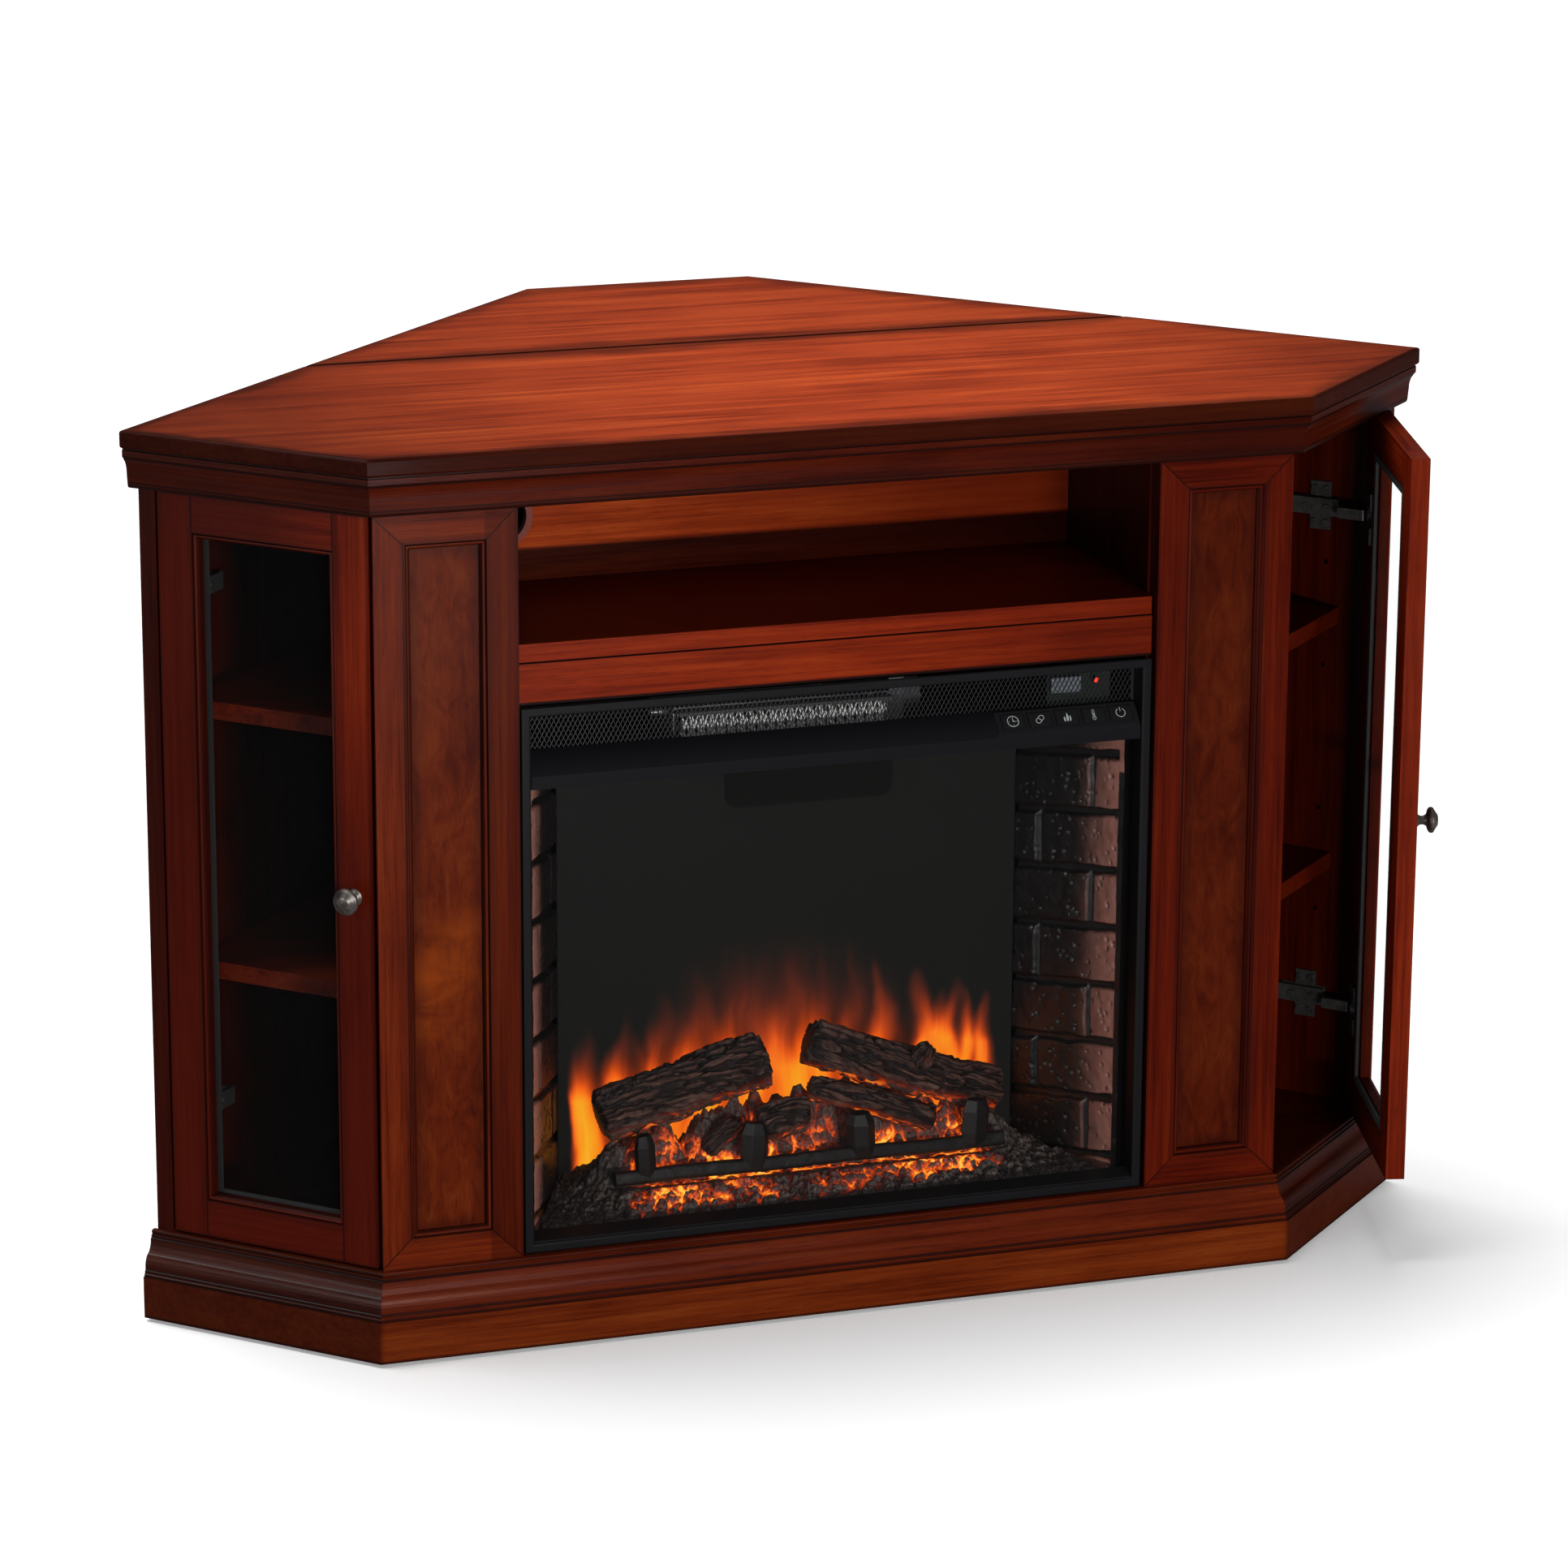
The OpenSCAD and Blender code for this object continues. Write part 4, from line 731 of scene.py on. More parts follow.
class Hardware(bpy.types.Operator):
    """Finishes glass, knobs, hinges, pins, brackets and glides"""
    bl_idname = "fireplace.hardware"
    bl_label = "Glass and hardware"

    def execute(self, context):
        for side in ("left", "right"):
            mottled(f"{side} pane".capitalize(), 6, (0.004, 0.005, 0.005), (0.010, 0.012, 0.011), 0.03, 0,
                    IOR=1.45, Alpha=0.10).dress(f"{side}_door_glass")
        knob = Finish("Antique pewter", 0.30, 0.6, Specular_IOR_Level=1.0)
        cloud = knob.noise(knob.position, 90, 4, 0.65)
        fine = knob.noise(knob.position, 900, 2)
        knob.bump(cloud * 0.6 + fine * 0.4, 0.00012, 0.5)
        pewter = context.scene.fireplace_looks.pewter
        knob.give(Base_Color=knob.blend(cloud.rise(0.35, 0.65), (0.045, 0.038, 0.033), pewter),
                  Roughness=0.24 + cloud * 0.2)
        knob.dress("left_door_knob", "right_door_knob")
        zinc = Finish("Zinc", 0.35, 1.0)
        spots = zinc.cells(zinc.position, 700)
        zinc.give(Base_Color=zinc.blend(spots, (0.42, 0.43, 0.45), (0.62, 0.62, 0.63)),
                  Roughness=0.28 + spots * 0.2)
        zinc.dress("shelf_pins")
        mottled("Dulled nickel", 160, (0.010, 0.0095, 0.009), (0.120, 0.114, 0.108), 0.22, 0.25, 4, 0.6,
                0.00006, metallic=0.5, Specular_IOR_Level=1.0).dress("left_hinge_cups", "right_hinge_cups",
                                                                     "hinge_arms")
        mottled("Black powder coat", 1600, (0.010, 0.010, 0.011), (0.022, 0.022, 0.024), 0.40,
                depth=0.00008, strength=0.6).dress("extension_brackets")
        mottled("Rubber strip", 400, (0.012, 0.012, 0.012), (0.030, 0.029, 0.028), 0.62,
                detail=3).dress("left_door_gasket", "right_door_gasket")
        mottled("Moulded glide", 300, (0.018, 0.018, 0.018), (0.05, 0.048, 0.046), 0.42, 0.25,
                3).dress("glides")
        mottled("Moulded bush", 260, (0.14, 0.020, 0.008), (0.20, 0.030, 0.012), 0.38, detail=3,
                depth=0.00008, strength=0.4).dress("cable_bushes")
        mottled("Inlet plastic", 900, (0.012, 0.012, 0.012), (0.026, 0.026, 0.026), 0.38,
                depth=0.00006).dress("power_inlet")
        return {"FINISHED"}


# ------------------------------------------------------------------ firebox
class FireboxShell(bpy.types.Operator):
    """Finishes the trim, control bar, case and glass of the firebox and the works inside it"""
    bl_idname = "fireplace.firebox_shell"
    bl_label = "Firebox shell"

    def execute(self, context):
        trim = Finish("Trim powder coat", 0.42, Specular_IOR_Level=0.14)
        grit = trim.noise(trim.position, 1500, 2)
        drift = trim.noise(trim.position, 14, 3)
        trim.bump(grit, 0.00007, 0.55)
        trim.give(Base_Color=trim.blend(grit * 0.6 + drift * 0.4, (0.0045, 0.0045, 0.0052),
                                        (0.0092, 0.0090, 0.0100)), Roughness=0.36 + grit * 0.2)
        trim.dress("trim_frame")
        bar = Finish("Bar enamel", 0.42, Specular_IOR_Level=0.08)
        grit = bar.noise(bar.position, 1100, 2)
        # A paler pad lies under the keys
        pad = abs(bar.x - KEY_X[2]).rise(0.0675, 0.0670) * (bar.z - 0.520).rise(0.0010, 0.0016)
        enamel = bar.blend(grit, (0.0050, 0.0050, 0.0062), (0.0090, 0.0090, 0.0108))
        bar.bump(grit, 0.00004, 0.5)
        bar.give(Base_Color=bar.blend(pad * 0.7, enamel, (0.012, 0.012, 0.013)), Roughness=0.32 + grit * 0.14)
        bar.dress("control_bar")
        mottled("Key plastic", 1300, (0.007, 0.007, 0.008), (0.013, 0.013, 0.014), 0.36, 0.16, depth=0.00004,
                Specular_IOR_Level=0.2).dress("timer_button", "dimmer_button", "flame_button", "heat_button",
                                              "power_button")
        mottled("Housing sheet", 900, (0.007, 0.007, 0.007), (0.017, 0.0165, 0.016), 0.42, detail=3,
                depth=0.0001, strength=0.4, Specular_IOR_Level=0.35).dress("firebox_case")
        mottled("Baffle soot", 500, (0.0042, 0.0041, 0.0038), (0.0074, 0.0072, 0.0066), 0.7, detail=3,
                Specular_IOR_Level=0.05).dress("baffle_plate")
        mottled("Firebox glass", 5, (0.003, 0.003, 0.003), (0.008, 0.008, 0.008), 0.03, 0, IOR=1.45,
                Alpha=0.06).dress("firebox_glass")
        mottled("Motor steel", 240, (0.14, 0.14, 0.15), (0.30, 0.30, 0.31), 0.36, detail=3, depth=0.0001,
                strength=0.4, metallic=0.8).dress("drive_motors")
        self.light_boards()
        tin = Finish("Bright sheet", 0.3, 1.0)
        flow = tin.noise(tin.vector(tin.x * 30, tin.y * 300, tin.z * 300), 1, 3)
        tin.bump(flow, 0.00008, 0.4)
        tin.give(Base_Color=tin.blend(flow, (0.34, 0.35, 0.36), (0.58, 0.59, 0.60)),
                 Roughness=0.24 + flow * 0.22)
        tin.dress("blower_housing", "blower_wheel", "flame_spindle")
        return {"FINISHED"}

    def light_boards(self):
        """Circuit board with a lit red lamp and a grey display on its front."""
        board = Finish("Circuit laminate", 0.5)
        tracks = board.cells(board.position, 260, "DISTANCE_TO_EDGE")
        away = (board.x - LAMP_AT[0]) ** 2 + (board.z - LAMP_AT[1]) ** 2
        lamp = away.rise(0.0000050, 0.0000040) * board.y.rise(-0.1330, -0.1335)
        across, up = abs(board.x - DISPLAY_AT[0]), abs(board.z - DISPLAY_AT[1])
        display = (across.rise(DISPLAY_HALF[0] + 0.0002, DISPLAY_HALF[0] - 0.0002)
                   * up.rise(DISPLAY_HALF[1] + 0.0002, DISPLAY_HALF[1] - 0.0002)
                   * board.y.rise(-0.1380, -0.1384))
        green = board.blend(tracks.rise(0.05, 0.12), (0.012, 0.018, 0.010), (0.004, 0.009, 0.006))
        colour = board.blend(display, green, (0.13, 0.145, 0.165))
        board.give(Base_Color=board.blend(lamp, colour, (0.6, 0.01, 0.005)),
                   Emission_Color=board.blend(lamp, (0, 0, 0), (1.0, 0.02, 0.01)), Emission_Strength=3.0)
        board.dress("light_boards", "switch_board")


class OutletMesh(bpy.types.Operator):
    """Expanded metal outlet: two families of slanted strands in a flat rim"""
    bl_idname = "fireplace.outlet_mesh"
    bl_label = "Outlet mesh"

    def upright(self, ends, y0, y1):
        """A block over four corners in the plane of X and Z, between two depths."""
        return block_part([[x, y, z] for y in (y0, y1) for x, z in ends])

    def strands(self, lean, pitch, width, y0, y1):
        """Bars across the opening, each leaning by its run over the height, cut at the rim."""
        z0, z1 = MESH_Z0 + 0.002, MESH_Z1 - 0.002
        run = (z1 - z0) / math.tan(lean)
        starts = np.arange(-MESH_HALF - abs(run), MESH_HALF + abs(run), pitch)
        limit = MESH_HALF - 0.002
        t = np.stack([(-limit - starts) / run, (limit - starts) / run], 1)
        t0, t1 = np.clip(t.min(1), 0, 1), np.clip(t.max(1), 0, 1)
        across = np.array([width / 2 / math.sin(abs(lean)), 0])
        parts = []
        for s, a, b in zip(starts, t0, t1):
            if b - a < 0.02:
                continue
            p = np.array([s + run * a, z0 + (z1 - z0) * a])
            q = np.array([s + run * b, z0 + (z1 - z0) * b])
            parts.append(self.upright([p - across, p + across, q + across, q - across], y0, y1))
        return parts

    def execute(self, context):
        sizes = context.scene.fireplace_sizes
        f = mottled("Mesh enamel", 900, (0.007, 0.007, 0.008), (0.018, 0.018, 0.020), 0.34, metallic=0.2,
                    Specular_IOR_Level=0.5)
        lean = math.radians(62)
        parts = self.strands(lean, sizes.mesh_pitch, sizes.strand, MESH_Y, MESH_Y + 0.0007)
        parts += self.strands(-lean, sizes.mesh_pitch, sizes.strand * 0.62, MESH_Y + 0.0005, MESH_Y + 0.0012)
        h, rim = MESH_HALF, 0.0028
        outer = [(-h, MESH_Z0), (h, MESH_Z0), (h, MESH_Z1), (-h, MESH_Z1)]
        inner = [(x - math.copysign(rim, x), z + side * rim) for (x, z), side in zip(outer, (1, 1, -1, -1))]
        for k in range(4):
            after = (k + 1) % 4
            parts.append(self.upright([outer[k], outer[after], inner[after], inner[k]],
                                      MESH_Y - 0.0002, MESH_Y + 0.0014))
        piece("outlet_mesh", join(parts), "cabinet", f.material, ["mesh_grille"],
              shade_smooth=False)
        return {"FINISHED"}


class HeaterCoil(bpy.types.Operator):
    """Heater: crimped wire strung in rows between pale bars"""
    bl_idname = "fireplace.heater_coil"
    bl_label = "Heater coil"

    # Depth and height of each row
    rows = ((-0.1245, 0.5335), (-0.1245, 0.5475), (-0.1215, 0.5405))
    left, right, pitch, wire = -0.134, 0.054, 0.0046, 0.00080

    def execute(self, context):
        """A row is a helix of oval turns, one a pitch, which sways to the sides by half as many."""
        f = mottled("Heater wire", 300, (0.55, 0.54, 0.53), (0.98, 0.97, 0.95), 0.22, detail=3, metallic=0.15,
                    Specular_IOR_Level=1.0)
        parts = []
        x = np.linspace(self.left, self.right, 1500)
        for row, (y, z) in enumerate(self.rows):
            turn = x * 2 * np.pi / self.pitch + row * 2.1
            path = [x + 0.0012 * np.sin(turn * 0.5), y + 0.0022 * np.cos(turn), z + 0.0062 * np.sin(turn)]
            parts.append(tube_part(np.stack(path, -1), self.wire, 5))
        piece("heater_wire", join(parts), "cabinet", f.material)
        mica = Finish("Mica bars", 0.5)
        layers = mica.noise(mica.vector(mica.x * 40, mica.y * 90, mica.z * 900), 1, 3)
        mica.give(Base_Color=mica.blend(layers, (0.030, 0.027, 0.023), (0.075, 0.068, 0.060)),
                  Roughness=0.4 + layers * 0.2)
        mica.dress("heater_element")
        return {"FINISHED"}


class KeySymbols(bpy.types.Operator):
    """Pale symbols printed on the five keys"""
    bl_idname = "fireplace.key_symbols"
    bl_label = "Key symbols"
    low, high, pen = KEY_TOP, KEY_TOP + 0.00009, 0.00060
    # Metres in a unit of the symbols' drawings, about a millimetre
    unit = 1.18 * MM

    def stroke(self, line, closed=False, pen=None):
        return ribbon_part(np.asarray(line) * self.unit, pen or self.pen, self.low, self.high, closed)

    def ring(self, radius, a0=0.0, a1=360.0):
        """A circle or, short of a full turn, an arc."""
        closed = a1 - a0 >= 360
        a = np.radians(np.linspace(a0, a1, 41)[: 40 if closed else 41])
        return self.stroke(np.c_[radius * np.cos(a), radius * np.sin(a)], closed)

    def clock(self):
        quarters = ((1, 0), (0, 1), (-1, 0), (0, -1))
        ticks = [self.stroke([[2.9 * c, 2.9 * s], [3.7 * c, 3.7 * s]]) for c, s in quarters]
        return [self.ring(4.4), self.stroke([[0, 2.5], [0, 0]]), self.stroke([[-0.2, 0], [1.9, 0]]), *ticks]

    def dimmer(self):
        """A tilted capsule crossed by a line."""
        a = np.radians(np.r_[np.linspace(-90, 90, 13), np.linspace(90, 270, 13)])
        shift = np.r_[np.full(13, 2.0), np.full(13, -2.0)]
        line = np.c_[shift + 1.9 * np.cos(a), 1.9 * np.sin(a)]
        t = math.radians(45)
        turn = np.array([[math.cos(t), math.sin(t)], [-math.sin(t), math.cos(t)]])
        inner = np.array([[0, -1.9], [0, 1.9]])
        return [self.stroke(line @ turn, True), self.stroke(inner @ turn)]

    def flames(self):
        """Three tongues: a width that narrows upwards, swayed to one side."""
        parts = []
        for x, h, w, sway in ((-1.9, 4.6, 1.2, -0.5), (0.1, 7.4, 1.7, 0.6), (2.3, 5.0, 1.2, 0.5)):
            t = np.linspace(0, 1, 14)
            half = w * np.sqrt(np.clip(t * 1.4, 0, 1)) * (1 - t) ** 0.7
            mid = x + sway * np.sin(t * 3.0) * t
            z = (-3.8 + h * t) * self.unit
            left, right = (mid - half) * self.unit, (mid + half) * self.unit
            corners = ((left, self.low), (right, self.low), (right, self.high), (left, self.high))
            grid = np.stack([np.c_[side, z, np.full(14, level)] for side, level in corners], 1)
            points, faces = grid_part(grid, close_v=True)
            n = len(points)
            parts.append((points, faces + [np.array([[0, 1, 2, 3], [n - 1, n - 2, n - 3, n - 4]])]))
        return parts

    def thermometer(self):
        """A bulb's arc below and a smaller arc above, joined by straight sides, and a column."""
        a = np.radians(np.r_[np.linspace(130, 410, 24), np.linspace(0, 180, 10)])
        radius = np.r_[np.full(24, 1.35), np.full(10, 0.75)]
        middle = np.r_[np.full(24, -2.9), np.full(10, 3.6)]
        line = np.c_[radius * np.cos(a), middle + radius * np.sin(a)]
        return [self.stroke(line, True, 0.0004), self.stroke([[0, -2.9], [0, 1.4]])]

    def power(self):
        return [self.ring(3.6, 118, 422), self.stroke([[0, 1.1], [0, 4.6]])]

    def execute(self, context):
        f = mottled("Symbol ink", 2500, (0.32, 0.36, 0.33), (0.52, 0.57, 0.53), 0.5, 0)
        place = np.array(Matrix.Translation((0, BAR_Y, BAR_Z)) @ Matrix.Rotation(BAR_SLOPE, 4, "X"))
        keys = {"timer": self.clock, "dimmer": self.dimmer, "flame": self.flames, "heat": self.thermometer,
                "power": self.power}
        for x, (key, draw) in zip(KEY_X, keys.items()):
            points, faces = join(draw())
            points = (points + np.array([x, BAR_MID, 0])) @ place[:3, :3].T + place[:3, 3]
            piece(f"{key}_symbol", (points, faces), f"{key}_key", f.material, shade_smooth=False)
        return {"FINISHED"}


class BrickPanels(bpy.types.Operator):
    """Moulded brick panels: rounded bricks with pits between sunken joints"""
    bl_idname = "fireplace.brick_panels"
    bl_label = "Brick panels"

    def panel(self, side, step):
        """A grid over the panel, sunk at the joints and the pits. The bed joints fall towards
        the rear, which makes the chamber look deeper. A black bracket covers the front edge."""
        front, rear = np.array(BRICK_FRONT), np.array(BRICK_REAR)
        length = np.linalg.norm(rear - front)
        s, z = np.meshgrid(np.arange(0, length + step / 2, length / round(length / step)),
                           np.linspace(HEARTH_Z, CHAMBER_Z, int((CHAMBER_Z - HEARTH_Z) / step)),
                           indexing="ij")
        course = (JOINT_Z - z - JOINT_FALL * s) / COURSE_H
        bed = np.abs(course - np.round(course)) * COURSE_H
        cross = np.where(np.mod(np.floor(course), 2) < 0.5, *CROSS_S)
        wobble = 0.0010 * waves(np.stack([s * 60, z * 60, s * 0], -1), 5 + side)
        joint = np.minimum(bed, np.abs(s - cross) + 0.0008) + wobble
        front_face = smooth(s, 0.006, 0.010)
        body = 1 - (1 - smooth(joint, JOINT_W * 0.32, JOINT_W * 0.32 + 0.0034)) * front_face
        p = np.stack([s, z, np.zeros_like(s)], -1) / MM
        near, _, tone = lumps(p / np.array([7.0, 6.0, 9.0]), 71 + side)
        pit = (1 - smooth(near, 0.14, 0.32)) * (tone > 0.42) * body * front_face
        depth = -0.0048 * (1 - body) + 0.0005 * waves(p / 11, 31 + side, 4) * body - 0.0022 * pit
        direction = (rear - front) / length
        inward = np.array([-direction[1], direction[0]])
        inward = inward if inward[0] < 0 else -inward
        plan = front + s[..., None] * direction + (depth - 0.0001)[..., None] * inward
        back = front + s[..., None] * direction - 0.0085 * inward
        face = np.concatenate([plan, z[..., None]], -1)
        rim = np.concatenate([back, z[..., None]], -1)
        face[..., 0] *= side
        rim[..., 0] *= side
        bracket = smooth(s, 0.0058, 0.0064)
        bracket = np.maximum(bracket, smooth(z, CHAMBER_Z - 0.040, CHAMBER_Z - 0.039))
        part = slab(face, rim)
        return part, over_face(body * bracket, part), over_face(pit, part)

    def execute(self, context):
        f = Finish("Painted brick", 0.6, Specular_IOR_Level=0.5)
        body, pit = f.field("body"), f.field("pit")
        mottle = f.noise(f.position, 55, 4, 0.65)
        fine = f.noise(f.position, 700, 3, 0.6)
        clay = f.ramp(mottle * 0.6 + fine * 0.4, [(0.3, (0.300, 0.118, 0.086)), (0.5, (0.410, 0.172, 0.130)),
                                                  (0.7, (0.520, 0.240, 0.190))])
        # Painted shade: the bricks fade to near black towards the rear of the chamber, where little light
        # reaches.
        soot_and_painted_shade = (f.y + (mottle - 0.5) * 0.03).rise(-0.140, -0.082)
        colour = f.blend(soot_and_painted_shade, clay, (0.0042, 0.0029, 0.0025))
        colour = f.blend(body.rise(0.25, 0.85), (0.0025, 0.0018, 0.0015), colour)
        # Painted shade: the pits are darkened as well as sunk.
        colour = f.blend(pit * 0.75, colour, (0.008, 0.005, 0.004))
        f.bump(fine, 0.0004, 0.5)
        f.give(Base_Color=colour, Roughness=0.34 + mottle * 0.22)
        step = context.scene.fireplace_sizes.brick_step
        parts, bodies, pits = zip(*(self.panel(side, step) for side in (-1, 1)))
        piece("brick_faces", join(parts), "cabinet", f.material, ["brick_panels"],
              fields={"body": np.concatenate(bodies), "pit": np.concatenate(pits)})
        return {"FINISHED"}


# Logs, by the centres and radii of their ends and the seed of their bark
BIG_LOGS = (((-0.194, -0.060, 0.162), (-0.033, -0.051, 0.199), 0.022, 0.025, 3),
            ((0.010, -0.045, 0.211), (0.192, -0.056, 0.149), 0.020, 0.020, 8))
TWIGS = (((0.004, -0.069, 0.174), (0.121, -0.071, 0.133), 0.011, 0.013, 13),
         ((-0.046, -0.076, 0.145), (0.002, -0.073, 0.152), 0.016, 0.015, 17),
         ((-0.098, -0.080, 0.127), (-0.066, -0.076, 0.152), 0.009, 0.008, 21),
         ((0.112, -0.062, 0.180), (0.119, -0.070, 0.203), 0.009, 0.007, 25))


class Logs(bpy.types.Operator):
    """Split logs and twigs with bark in plates and torn ends"""
    bl_idname = "fireplace.logs"
    bl_label = "Logs"

    def log(self, spec, rings, sides, relief):
        """A tapering tube along a slightly bent line. Low waves swell its radius. Long random
        cells make plates of bark, which sink at the borders where the distances to the nearest
        and the second nearest point are alike, and noise drawn out along the log cuts fibres."""
        p, q, r0, r1, seed = spec
        p, q = np.array(p), np.array(q)
        length = np.linalg.norm(q - p)
        t = np.linspace(0, 1, rings)
        angle = np.linspace(0, 2 * np.pi, sides, endpoint=False)
        path = p + (q - p) * t[:, None]
        path[:, 2] += 0.003 * np.sin(t * np.pi) * (1 if seed % 2 else -1)
        path[:, 1] += 0.002 * np.sin(t * 5 + seed)
        tt, aa = np.meshgrid(t * length, angle, indexing="ij")
        radius = r0 + (r1 - r0) * t
        girth = (r0 + r1) / 2
        twist = aa + tt * 5
        c, s = np.cos(twist) * girth, np.sin(twist) * girth
        around = np.stack([tt, c, s], -1)
        swell = 0.09 * waves(np.stack([tt * 24, np.cos(aa) * 1.3, np.sin(aa) * 1.3], -1), seed, 2)
        bent = around + 0.0022 * np.stack([waves(around * 90, seed + k, 2) for k in (31, 32, 33)], -1)
        near, second, tone = lumps(bent / np.array([0.052, 0.0068, 0.0068]), seed + 40)
        plate = smooth(second - near, 0.02, 0.34)
        fibre = 1 - np.abs(waves(around * np.array([34, 330, 330]), seed + 3, 3))
        groove = smooth(fibre, 0.55, 0.98)
        flake = waves(around * np.array([160, 520, 520]), seed + 7, 3)
        height = 1.15 * plate - 0.55 * groove + 0.22 * flake + 0.5 * (tone - 0.5) - 0.35
        profile = 1 + swell + relief * height / radius[:, None]
        # Ends are torn: the last rings fall in unevenly
        end = np.minimum(tt, length - tt)
        ends = np.stack([np.cos(aa) * 2.5, np.sin(aa) * 2.5, tt * 0], -1)
        torn = 0.004 + 0.003 * waves(ends, seed + 11, 3)
        profile *= 1 - 0.30 * (1 - smooth(end, 0, np.maximum(torn, 0.001)))
        points, faces = tube_part(path, radius, sides, profile)
        crack = np.r_[np.maximum(1 - plate, groove * 0.7).ravel(), 0.5, 0.5]
        under = points[:, 2] - np.interp(np.r_[tt.ravel(), 0, length] / length, t, path[:, 2])
        return (points, faces), crack, np.clip(-under / girth, -1, 1), np.r_[tone.ravel(), 0.3, 0.3]

    def execute(self, context):
        f = Finish("Charred bark", 0.75, Specular_IOR_Level=0.35)
        crack, under, tone = f.field("crack"), f.field("under"), f.field("plate")
        mottle = f.noise(f.position, 110, 4, 0.65)
        fine = f.noise(f.position, 900, 3, 0.6)
        bark = f.ramp(mottle * 0.5 + fine * 0.38 + tone * 0.12, [
            (0.30, (0.014, 0.0055, 0.0042)), (0.46, (0.040, 0.0165, 0.0120)), (0.56, (0.082, 0.038, 0.028)),
            (0.72, (0.150, 0.085, 0.066))])
        colour = f.blend(crack.rise(0.30, 0.85) * 0.92, bark, (0.0040, 0.0020, 0.0015))
        f.bump(fine + mottle, 0.0007, 0.7)
        # Painted light: the logs' undersides glow orange in their cracks, standing for the embers' light
        # falling on them.
        low = under.rise(0.15, 0.95)
        ember_glow_and_painted_underglow = low * (crack * 0.75 + mottle * 0.6).rise(0.55, 1.05) * (1 - f.z.rise(0.176, 0.200))
        fire = f.ramp(ember_glow_and_painted_underglow, [(0.0, (0, 0, 0)), (0.35, (0.10, 0.006, 0)), (0.7, (0.50, 0.050, 0.002)),
                            (1.0, (1.0, 0.22, 0.012))])
        f.give(Base_Color=colour, Roughness=0.50 + mottle * 0.3, Emission_Color=fire, Emission_Strength=1.0)
        sizes = context.scene.fireplace_sizes
        for name, node, specs, rings, share in (("bark_logs", "split_logs", BIG_LOGS, 210, 1.0),
                                                ("bark_twigs", "small_logs", TWIGS, 90, 0.42)):
            sides, relief = int(sizes.log_sides * share), sizes.bark * (0.35 + 0.65 * share)
            parts, *layers = zip(*(self.log(spec, rings, sides, relief) for spec in specs))
            fields = {key: np.concatenate(layer) for key, layer in zip(("crack", "under", "plate"), layers)}
            piece(name, join(parts), "cabinet", f.material, [node], fields=fields)
        return {"FINISHED"}


class Grate(bpy.types.Operator):
    """Cast grate: a hammered bar with four squat, faceted pegs"""
    bl_idname = "fireplace.grate"
    bl_label = "Grate"

    # Centre, half width and turn of each peg
    pegs = ((-0.1575, 0.0100, 12), (-0.0570, 0.0125, 35), (0.0470, 0.0135, 20), (0.1560, 0.0140, 48))
    # Heights of a peg's rings, and their widths against its half width
    levels, widths = (0.1130, 0.1240, 0.1440, 0.1545), (0.90, 1.02, 1.0, 0.70)
    left, right, half, sides = -0.188, 0.184, 0.0070, 28

    def bar(self):
        """A ring of fourth-power roundness carried along X, with noise for its dents."""
        x = np.linspace(self.left, self.right, 260)
        path = np.stack([x, np.full_like(x, GRATE_Y), GRATE_Z + 0.0006 * np.sin(x * 40)], -1)
        angle = np.linspace(0, 2 * np.pi, self.sides, endpoint=False)
        block = (np.abs(np.cos(angle)) ** 4 + np.abs(np.sin(angle)) ** 4) ** -0.25
        around = np.broadcast_arrays(x[:, None] * 110, np.cos(angle) * 0.8, np.sin(angle) * 0.8)
        dents = waves(np.stack(around, -1), 44, 3)
        return tube_part(path, self.half, self.sides, block * (0.97 + 0.05 * dents))

    def peg(self, place, half, turn):
        """A six-sided ring carried upright, with a chamfer at its top, turned and flattened."""
        lean = 0.0012 * np.sin(place * 90) * np.arange(4)
        path = np.stack([place + lean, np.full(4, GRATE_Y - 0.0005), np.array(self.levels)], -1)
        spin = np.radians(turn)
        bulge = 1 + 0.10 * np.sin((spin + np.arange(6) * np.pi / 3) * 2 + place * 300)
        shape = np.array(self.widths)[:, None] * np.roll(bulge, turn % 5)[None]
        points, faces = tube_part(path, half, 6, shape)
        flat = points[:, :2] - [place, GRATE_Y]
        points[:, 0] = place + flat[:, 0] * np.cos(spin) - flat[:, 1] * np.sin(spin)
        points[:, 1] = GRATE_Y + 0.8 * (flat[:, 0] * np.sin(spin) + flat[:, 1] * np.cos(spin))
        return points, faces

    def execute(self, context):
        iron = mottled("Grate iron", 420, (0.0022, 0.0019, 0.0017), (0.0110, 0.0092, 0.0082), 0.40, 0.3, 3,
                       0.65, 0.0005, 0.6, Specular_IOR_Level=0.35)
        parts = [self.bar(), *(self.peg(*spec) for spec in self.pegs)]
        thing = piece("grate_iron", join(parts), "cabinet", iron.material, ["grate"],
                      shade_smooth=False)
        bevel = thing.modifiers.new("Worn edges", "BEVEL")
        bevel.width, bevel.segments, bevel.angle_limit = 0.0008, 2, math.radians(28)
        return {"FINISHED"}


